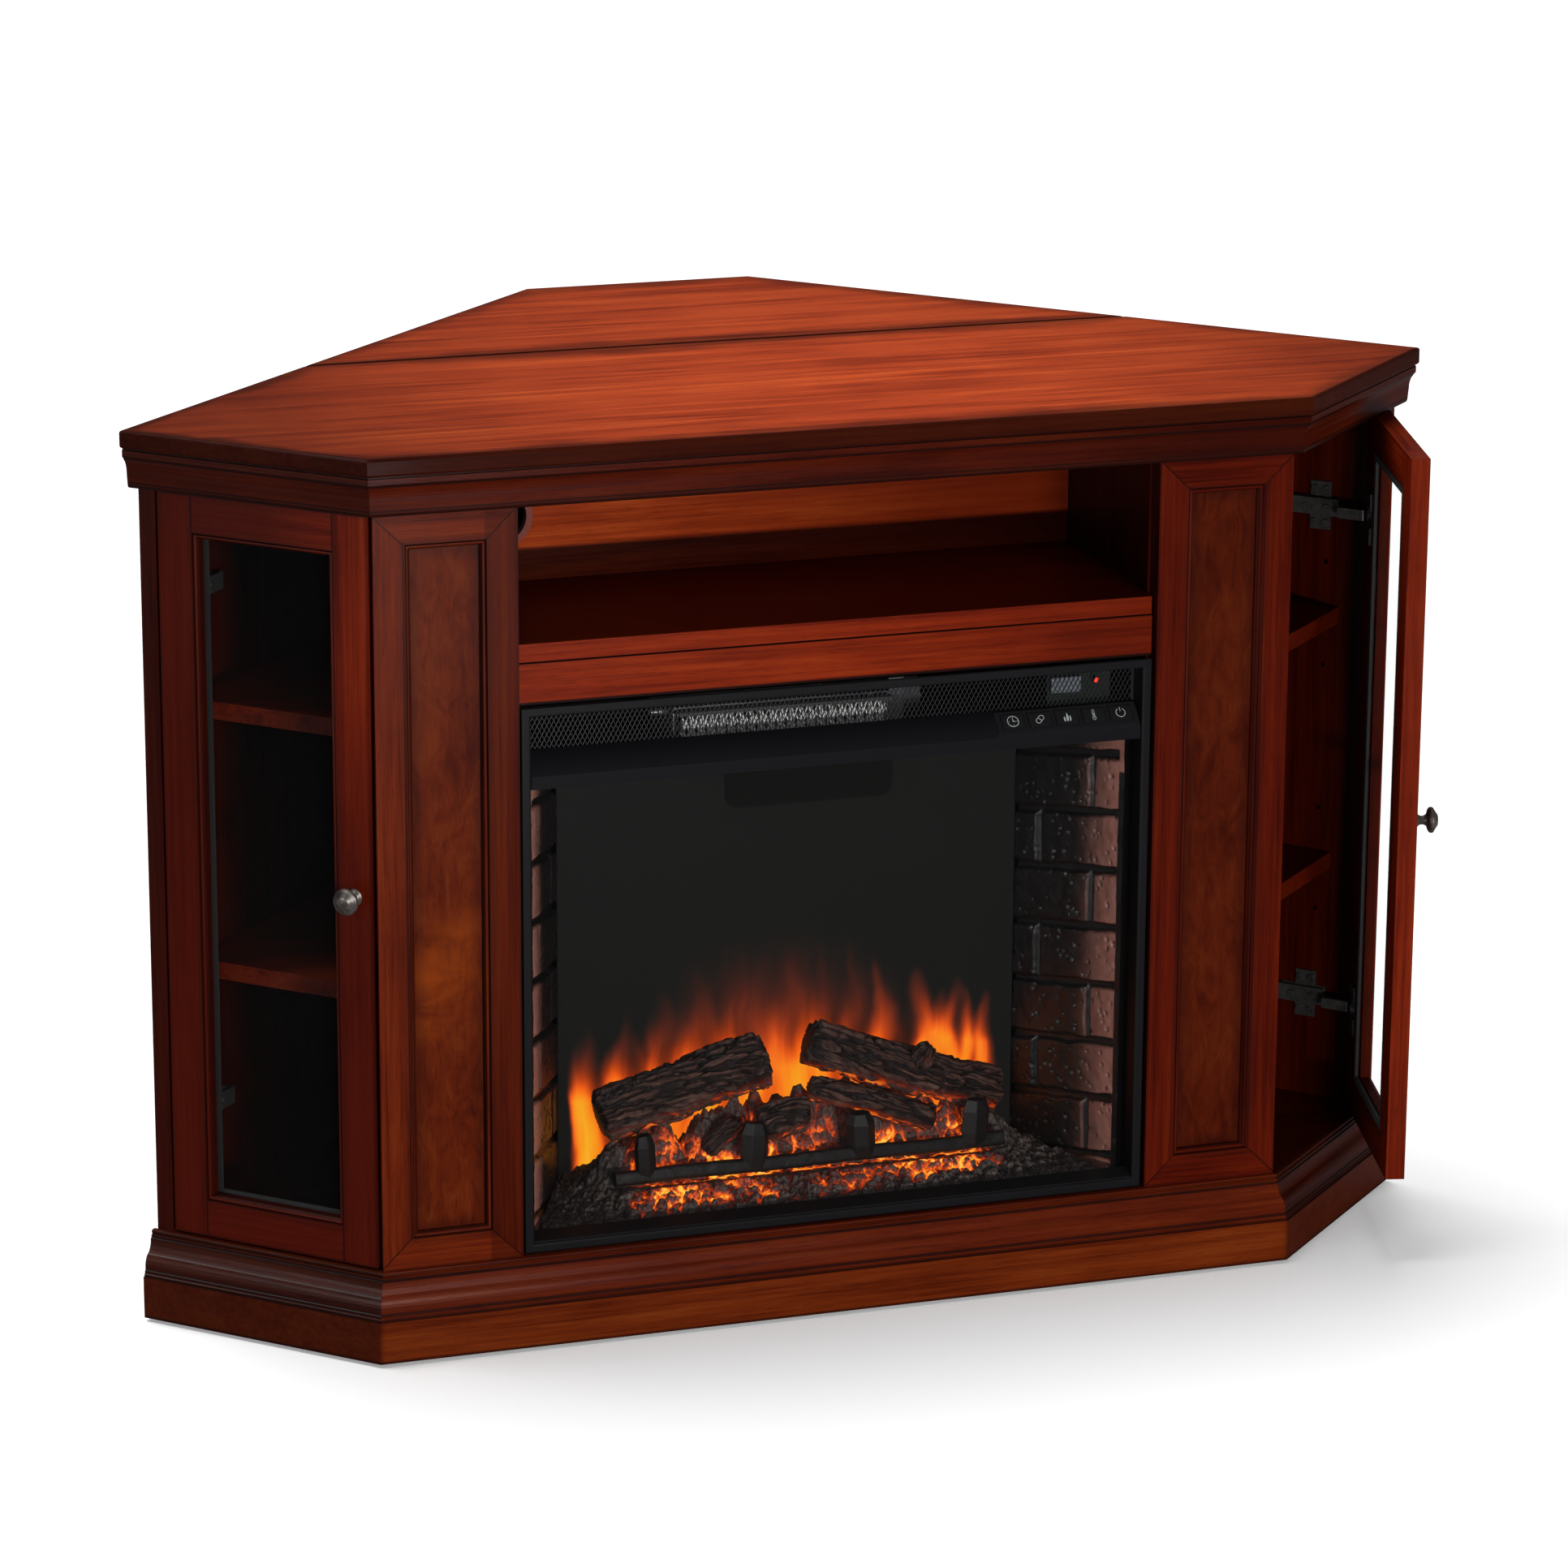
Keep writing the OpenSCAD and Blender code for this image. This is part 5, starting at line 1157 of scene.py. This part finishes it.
class EmberBed(bpy.types.Operator):
    """Bed of ash and lumps of coal with glowing cracks"""
    bl_idname = "fireplace.ember_bed"
    bl_label = "Ember bed"

    # Place across and back from the top's front edge, and height, of each pile, in millimetres
    piles = ((-182, 130, 32), (-166, 131, 38), (-150, 131, 42), (-135, 131, 44), (-95, 131, 49),
             (-80, 132, 52), (-64, 134, 56), (-44, 136, 58), (-22, 136, 56), (0, 139, 58),
             (22, 141, 60), (45, 143, 62), (70, 138, 56), (92, 131, 46), (116, 130, 42),
             (142, 130, 38), (166, 133, 34), (184, 133, 24))

    def warmth(self, x, y, z):
        """Two zones that fade at their borders: one before the grate's bar, which reaches less
        far forward at the right, and one behind it, which fades with height."""
        reach = -0.138 + 0.022 * smooth(x, 0.06, 0.19)
        front = smooth(0.190 - np.abs(x), 0, 0.016) * smooth(y - reach, 0, 0.012)
        front *= (1 - smooth(y, -0.098, -0.090)) * (0.45 + 0.55 * smooth(y, -0.132, -0.102))
        middle = smooth(0.186 - np.abs(x), 0, 0.03) * smooth(y, -0.093, -0.088)
        middle *= (1 - smooth(y, -0.060, -0.030)) * (1 - 0.62 * smooth(z, 0.116, 0.150))
        return np.maximum(front, middle)

    def bed(self, step):
        """The height is a slope to the rear, piles under the logs and lumps: one minus the
        distance to random points. The glow is strong in the cracks between lumps."""
        (fx, fy), (rx, ry) = BRICK_FRONT, BRICK_REAR
        v, u = np.meshgrid(np.linspace(0, 1, int((ry - fy) / step)),
                           np.linspace(-1, 1, int(2 * fx / step)), indexing="ij")
        x = u * (fx - 0.0008 + (rx - fx) * v)
        y = fy + (ry - fy) * v
        heap = np.max([h * np.exp(-((x / MM - px) ** 2 + ((y - FRONT_Y) / MM - py) ** 2) / 480)
                       for px, py, h in self.piles], 0)
        z = HEARTH_Z + MM * (4 + 8 * v + 21 * np.sqrt(v) * (1 - np.abs(u) ** 4) + heap)
        p = np.stack([x, y, z], -1) / MM
        warped = p + 2.6 * np.stack([waves(p / 9, k) for k in (3, 4, 5)], -1)
        near, second, tone = lumps(warped / np.array([15, 10.5, 17.0]), 90)
        small, small2, tone2 = lumps(warped / np.array([6.4, 5.2, 8.0]), 140)
        gap, gap2 = second - near, small2 - small
        rough = waves(p / 2.4, 60, 3)
        hot_ground = smooth(0.200 - np.abs(x), 0, 0.02)
        lump = (5.5 * smooth(gap, 0, 0.5) + 2.0 * (tone - 0.4)) * (0.45 + 0.55 * hot_ground)
        z = z + MM * (lump + 2.0 * smooth(gap2, 0, 0.4) + 0.6 * rough - 3.6)
        # Nothing reaches into the grate's bar
        bar = (np.abs(x) < 0.192) & (np.abs(y - GRATE_Y) < 0.0085)
        z = np.where(bar, np.minimum(z, GRATE_Z - 0.0113), z)
        z = np.maximum(z, HEARTH_Z + 0.0012)
        warm = self.warmth(x, y, z) * (0.64 + 0.50 * waves(p / 24, 9, 2))
        seam = np.maximum(np.exp(-(gap / 0.17) ** 2), 0.62 * np.exp(-(gap2 / 0.15) ** 2))
        lit = (tone2 > 0.80) * 0.50 * smooth(gap2, 0, 0.3)
        glow = np.clip(warm * (seam * 0.86 + lit * 0.7 + 0.16), 0, 1)
        # Painted shade: the ash darkens in the hollows between lumps.
        hollow = 1 - smooth(np.minimum(gap, gap2 * 1.5), 0.0, 0.22)
        face = np.stack([x, y, z], -1)
        base = face.copy()
        base[..., 2] = HEARTH_Z
        part = slab(face, base)
        return part, {"glow": over_face(glow, part), "hollow": over_face(hollow, part)}

    def execute(self, context):
        looks, sizes = context.scene.fireplace_looks, context.scene.fireplace_sizes
        f = Finish("Ash and embers", 0.85, Specular_IOR_Level=0.25, Emission_Strength=looks.glow)
        ember_glow_and_painted_underglow, hollow = f.field("glow"), f.field("hollow")
        mottle = f.noise(f.position, 300, 4, 0.7)
        ash = f.ramp(mottle, [(0.3, (0.030, 0.0210, 0.0185)), (0.55, (0.092, 0.071, 0.063)),
                              (0.75, (0.210, 0.172, 0.156))])
        # Painted shade in the hollows between lumps.
        ash = f.blend(hollow * 0.8, ash, (0.003, 0.002, 0.002))
        flicker = (ember_glow_and_painted_underglow * (0.35 + mottle * 1.25)).rise(0.06, 0.98)
        fire = f.ramp(flicker, [(0.0, (0, 0, 0)), (0.14, (0.045, 0.0025, 0)), (0.34, (0.30, 0.024, 0.001)),
                                (0.56, (0.85, 0.105, 0.004)), (0.80, looks.ember), (1.0, (1.0, 0.58, 0.07))])
        f.bump(mottle, 0.0007, 0.7)
        f.give(Base_Color=ash, Emission_Color=fire, Roughness=0.72 + mottle * 0.2)
        part, fields = self.bed(sizes.ember_step)
        piece("ember_lumps", part, "cabinet", f.material, ["ember_bed"], fields=fields)
        return {"FINISHED"}


class Flames(bpy.types.Operator):
    """Screen at the rear of the fire with the picture of flames"""
    bl_idname = "fireplace.flames"
    bl_label = "Flames"

    # Of each tongue: its middle, the height where it is a tenth as bright as orange, its half
    # width, the height over which it fades by e, its lean, and its tip, in millimetres
    tongues = ((-195, 204, 10, 11, 4, 245), (-158, 214, 8, 13, 5, 256), (-142, 200, 7, 13, -3, 230),
               (-123, 222, 8, 17, 4, 266), (-105, 212, 7, 14, -3, 250), (-90, 229, 9, 19, 5, 288),
               (-71, 222, 8, 18, -4, 270), (-52, 230, 10, 21, 4, 312), (-28, 230, 10, 21, -4, 292),
               (-6, 236, 11, 21, 4, 326), (14, 236, 10, 21, -3, 332), (31, 226, 8, 17, 3, 300),
               (60, 223, 8, 20, 4, 300), (90, 241, 8, 21, -4, 274), (130, 239, 7, 18, -5, 264),
               (147, 222, 5, 9, 3, 244), (159, 226, 6, 13, 6, 256), (171, 220, 5, 12, -3, 244),
               (188, 218, 6, 13, 3, 236))

    def picture(self):
        """Each tongue's brightness falls by e over a fixed height above its foot, and with the
        square of the distance from its swaying middle. The sum is held as a logarithm."""
        half, y = BRICK_REAR[0] - 0.0005, BRICK_REAR[1] + 0.0005
        rows = np.r_[np.linspace(HEARTH_Z, 0.345, 190), np.linspace(0.355, CHAMBER_Z, 12)]
        x, z = np.meshgrid(np.linspace(-half, half, 330), rows, indexing="ij")
        p = np.stack([x / MM / 24, z / MM / 46, np.zeros_like(x)], -1)
        X, Z = x / MM + 4.0 * waves(p, 2, 3), z / MM
        fire = np.zeros_like(X)
        for middle, tenth, width, fade, lean, tip in self.tongues:
            place = middle + lean * np.sin((Z - tenth) / 17)
            narrow = width * (0.62 + 0.55 * np.clip((tip - Z) / 60, 0, 1))
            height = np.exp(np.minimum((tenth - Z) / fade, 3.7 if middle < -190 else 2.8))
            fire += 0.1 * height * np.exp(-((X - place) / narrow) ** 2) * (1 - smooth(Z, tip - 14, tip + 6))
        haze = 0.030 * np.exp(-((X + 4) / 105) ** 4 + np.minimum((245 - Z) / 34, 1.5))
        haze *= 1 - smooth(Z, 290, 350)
        streaks = np.exp(0.30 * waves(np.stack([X / 6, Z / 70, X * 0], -1), 8, 3))
        ends = smooth(212 - np.abs(X), 0, 10)
        light = np.maximum((fire * ends + haze) * streaks, DARKEST)
        warm = np.log(light / DARKEST) / math.log(BRIGHTEST / DARKEST)
        face = np.stack([x, np.full_like(x, y), z], -1)
        part = slab(face, face + np.array([0, 0.003, 0]))
        return part, {"warmth": over_face(np.clip(warm, 0, 1), part)}

    def execute(self, context):
        f = Finish("Flame screen", 0.5, Specular_IOR_Level=0.08, Emission_Strength=1.05)
        glow = f.ramp(f.field("warmth"), [
            (0.0, (0.0050, 0.0048, 0.0042)), (0.12, (0.010, 0.0062, 0.0045)), (0.24, (0.026, 0.0078, 0.0045)),
            (0.335, (0.053, 0.0105, 0.005)), (0.42, (0.10, 0.0145, 0.005)), (0.50, (0.18, 0.022, 0.005)),
            (0.577, (0.31, 0.035, 0.005)), (0.65, (0.52, 0.058, 0.006)), (0.72, (0.84, 0.105, 0.007)),
            (0.80, (1.0, 0.20, 0.010)), (0.90, (1.0, 0.36, 0.014)), (1.0, (1.0, 0.56, 0.022))])
        grit = f.noise(f.position, 600, 2)
        f.give(Base_Color=f.blend(grit, (0.0035, 0.0035, 0.0035), (0.006, 0.006, 0.006)),
               Emission_Color=glow)
        part, fields = self.picture()
        piece("flame_picture", part, "cabinet", f.material, ["flame_screen"], fields=fields)
        return {"FINISHED"}


# ------------------------------------------------------------------ rear and stage
class RearFixings(bpy.types.Operator):
    """Screws round the rear panel and in the brackets, and beads in its corners"""
    bl_idname = "fireplace.rear_fixings"
    bl_label = "Rear fixings"

    panel_y, bracket_y, bracket_x = 0.1861, 0.1891, 0.230
    # Plan of a bead's three edges, on the right
    bead = ((0.3727, 0.1818), (0.3773, 0.1818), (0.3734, 0.1860))

    def screw(self, x, y, z, r=0.0034, h=0.0016):
        """A domed head: rings whose radius falls as the square root of the height left."""
        t = np.linspace(0, 1, 6)
        radius = np.r_[r, r * np.sqrt(1 - t ** 2 * 0.93)]
        path = np.stack([np.full(7, x), y + h * np.r_[-0.3, t], np.full(7, z)], -1)
        return tube_part(path, radius, 14)

    def execute(self, context):
        steel = mottled("Screw steel", 500, (0.10, 0.10, 0.10), (0.30, 0.30, 0.30), 0.3, metallic=1.0)
        parts = [self.screw(x, self.panel_y, z) for z in (0.095, 0.792) for x in np.linspace(-0.33, 0.33, 7)]
        parts += [self.screw(s * 0.300, self.panel_y, z) for s in (-1, 1) for z in (0.24, 0.40, 0.56, 0.70)]
        parts += [self.screw(s * (self.bracket_x + dx), self.bracket_y, TOP_Z - dz, 0.0042, 0.002)
                  for s in (-1, 1) for dx in (0.007, 0.023) for dz in (0.015, 0.045)]
        piece("rear_screws", join(parts), "cabinet", steel.material)
        self.beads()
        return {"FINISHED"}

    def beads(self):
        """Three-sided beads that fill the crevices between the rear panel and the wall panels."""
        f = mottled("Joint filler", 500, (0.030, 0.008, 0.004), (0.060, 0.016, 0.008), 0.55, detail=3)
        parts = []
        for side in (-1, 1):
            ring = np.c_[np.array(self.bead) * [side, 1], np.zeros(3)]
            points = np.concatenate([ring + [0, 0, z] for z in (FLOOR_Z, TOP_Z)])
            sides = np.array([[0, 1, 4, 3], [1, 2, 5, 4], [2, 0, 3, 5]])
            parts.append((points, [sides, np.array([[2, 1, 0], [3, 4, 5]])]))
        piece("corner_beads", join(parts), "cabinet", f.material, shade_smooth=False)


class Stage(bpy.types.Operator):
    """Pale floor, soft studio light and the camera"""
    bl_idname = "fireplace.stage"
    bl_label = "Stage"

    def light(self, name, kind, energy, at, aim, diffuse=True, glossy=True, **settings):
        data = bpy.data.lights.new(name, kind)
        data.energy = energy
        for key, value in settings.items():
            setattr(data, key, value)
        lamp = bpy.data.objects.new(name, data)
        lamp.location = at
        lamp.rotation_euler = (Vector(aim) - Vector(at)).to_track_quat("-Z", "Y").to_euler()
        lamp.visible_camera = False
        lamp.visible_diffuse = diffuse
        lamp.visible_glossy = glossy
        bpy.context.collection.objects.link(lamp)

    def lights(self):
        """A wide sun above, weak suns before and behind, a low strip, and two panels that only
        reflections show."""
        wide, soft = math.radians(40), math.radians(30)
        self.light("Overhead", "SUN", 3.0, (-0.8, 0.8, 4), (0, 0.1, 0.5), angle=wide)
        self.light("Front fill", "SUN", 0.40, (0.6, -4.0, 2.0), (0, 0, 0), glossy=False, angle=soft)
        self.light("Rear fill", "SUN", 0.80, (1.0, 4.0, 1.2), (0, 0, 0), glossy=False, angle=soft)
        self.light("Low strip", "AREA", 52, (0.35, -2.7, 0.29), (0.2, 0.0, 0.6), glossy=False,
                   shape="RECTANGLE", size=0.7, size_y=0.05)
        self.light("Side sheen", "AREA", 26, (-3.0, -1.2, 1.2), (-0.4, 0.0, 0.4), diffuse=False,
                   shape="RECTANGLE", size=0.7, size_y=1.2)
        self.light("Low sheen", "AREA", 12, (-0.55, -1.2, 0.62), (-0.35, -0.2, 0.05), diffuse=False,
                   shape="RECTANGLE", size=0.9, size_y=0.3)

    def world(self):
        """White to the camera and through glass, nearly dark to reflections, dim as a light."""
        world = bpy.data.worlds.new("Studio")
        world.use_nodes = True
        bpy.context.scene.world = world
        sky = Shading(world.node_tree)
        seen = sky.ray("Is Camera Ray").most(sky.ray("Is Transmission Ray"))
        share = (sky.ray("Is Glossy Ray") * 0.04 + seen).least(1)
        dim = sky.node("ShaderNodeBackground", {}, {"Color": (0.94, 0.96, 1.0), "Strength": 0.06})
        white = sky.node("ShaderNodeBackground", {}, {"Color": (1, 1, 1), "Strength": 1.0})
        mix = sky.node("ShaderNodeMixShader", {}, {0: share, 1: dim, 2: white})
        sky.node("ShaderNodeOutputWorld", {}, {"Surface": mix})

    def floor(self):
        """A flat grid just under the glides, lifted to white for the camera."""
        t = np.linspace(-30, 30, 7)
        x, y = np.meshgrid(t, t, indexing="ij")
        points, faces = grid_part(np.stack([x, y, np.full_like(x, -0.0004)], -1))
        mesh = bpy.data.meshes.new("floor")
        mesh.from_pydata(points.tolist(), [], faces[0].tolist())
        thing = bpy.data.objects.new("floor", mesh)
        bpy.context.collection.objects.link(thing)
        f = Finish("Pale floor", 0.9, Specular_IOR_Level=0.0)
        soft = f.noise(f.position, 0.8, 2)
        seen = f.ray("Is Camera Ray")
        pale = f.blend(soft, (0.90, 0.90, 0.90), (0.92, 0.92, 0.92))
        f.give(Base_Color=f.blend(seen, (0.22, 0.22, 0.23), pale))
        none, lift = (f.node("ShaderNodeEmission", {}, {"Strength": strength}) for strength in (0.0, 0.22))
        pick = f.node("ShaderNodeMixShader", {}, {0: seen, 1: none, 2: lift})
        total = f.node("ShaderNodeAddShader", {}, {0: Term(f, f.shader.outputs[0]), 1: pick})
        f.feed(f.out.inputs["Surface"], total)
        mesh.materials.append(f.material)

    def camera(self):
        """Aimed by its yaw, pitch and roll in degrees."""
        data = bpy.data.cameras.new("View")
        data.sensor_width = 36.0
        data.lens = data.sensor_width * FOCAL_PX / PHOTO_PX
        data.shift_y = SHIFT_PX / PHOTO_PX
        data.clip_end = 100
        camera = bpy.data.objects.new("View", data)
        yaw, pitch, roll = (math.radians(a) for a in CAMERA_TURN)
        ahead = Vector((-math.sin(yaw) * math.cos(pitch), math.cos(yaw) * math.cos(pitch), math.sin(pitch)))
        right = Vector((math.cos(yaw), math.sin(yaw), 0))
        up = right.cross(ahead)
        r = right * math.cos(roll) + up * math.sin(roll)
        u = up * math.cos(roll) - right * math.sin(roll)
        rows = [(r[k], u[k], -ahead[k], CAMERA_AT[k]) for k in range(3)]
        camera.matrix_world = Matrix((*rows, (0, 0, 0, 1)))
        bpy.context.collection.objects.link(camera)
        bpy.context.scene.camera = camera

    def execute(self, context):
        self.camera()
        self.world()
        self.floor()
        self.lights()
        bpy.context.scene.view_settings.view_transform = "Standard"
        return {"FINISHED"}


STEPS = (CherryBoards, Hardware, FireboxShell, OutletMesh, HeaterCoil, KeySymbols, BrickPanels, Logs,
         Grate, EmberBed, Flames, RearFixings, Stage)


class FireplacePanel(bpy.types.Panel):
    bl_label = "Corner fireplace"
    bl_idname = "VIEW3D_PT_fireplace"
    bl_space_type = "VIEW_3D"
    bl_region_type = "UI"
    bl_category = "Fireplace"

    def draw(self, context):
        for step in STEPS:
            self.layout.operator(step.bl_idname)
        for group in (context.scene.fireplace_looks, context.scene.fireplace_sizes):
            for name in group.__annotations__:
                self.layout.prop(group, name)


CLASSES = (FireplaceLooks, FireplaceSizes, *STEPS, FireplacePanel)


def register():
    for item in CLASSES:
        bpy.utils.register_class(item)
    bpy.types.Scene.fireplace_looks = PointerProperty(type=FireplaceLooks)
    bpy.types.Scene.fireplace_sizes = PointerProperty(type=FireplaceSizes)


def unregister():
    del bpy.types.Scene.fireplace_looks
    del bpy.types.Scene.fireplace_sizes
    for item in reversed(CLASSES):
        bpy.utils.unregister_class(item)


def main():
    register()
    for step in STEPS:
        group, name = step.bl_idname.split(".")
        if getattr(getattr(bpy.ops, group), name)() != {"FINISHED"}:
            raise RuntimeError(f"{step.bl_label} didn't finish")


if __name__ == "__main__":
    main()
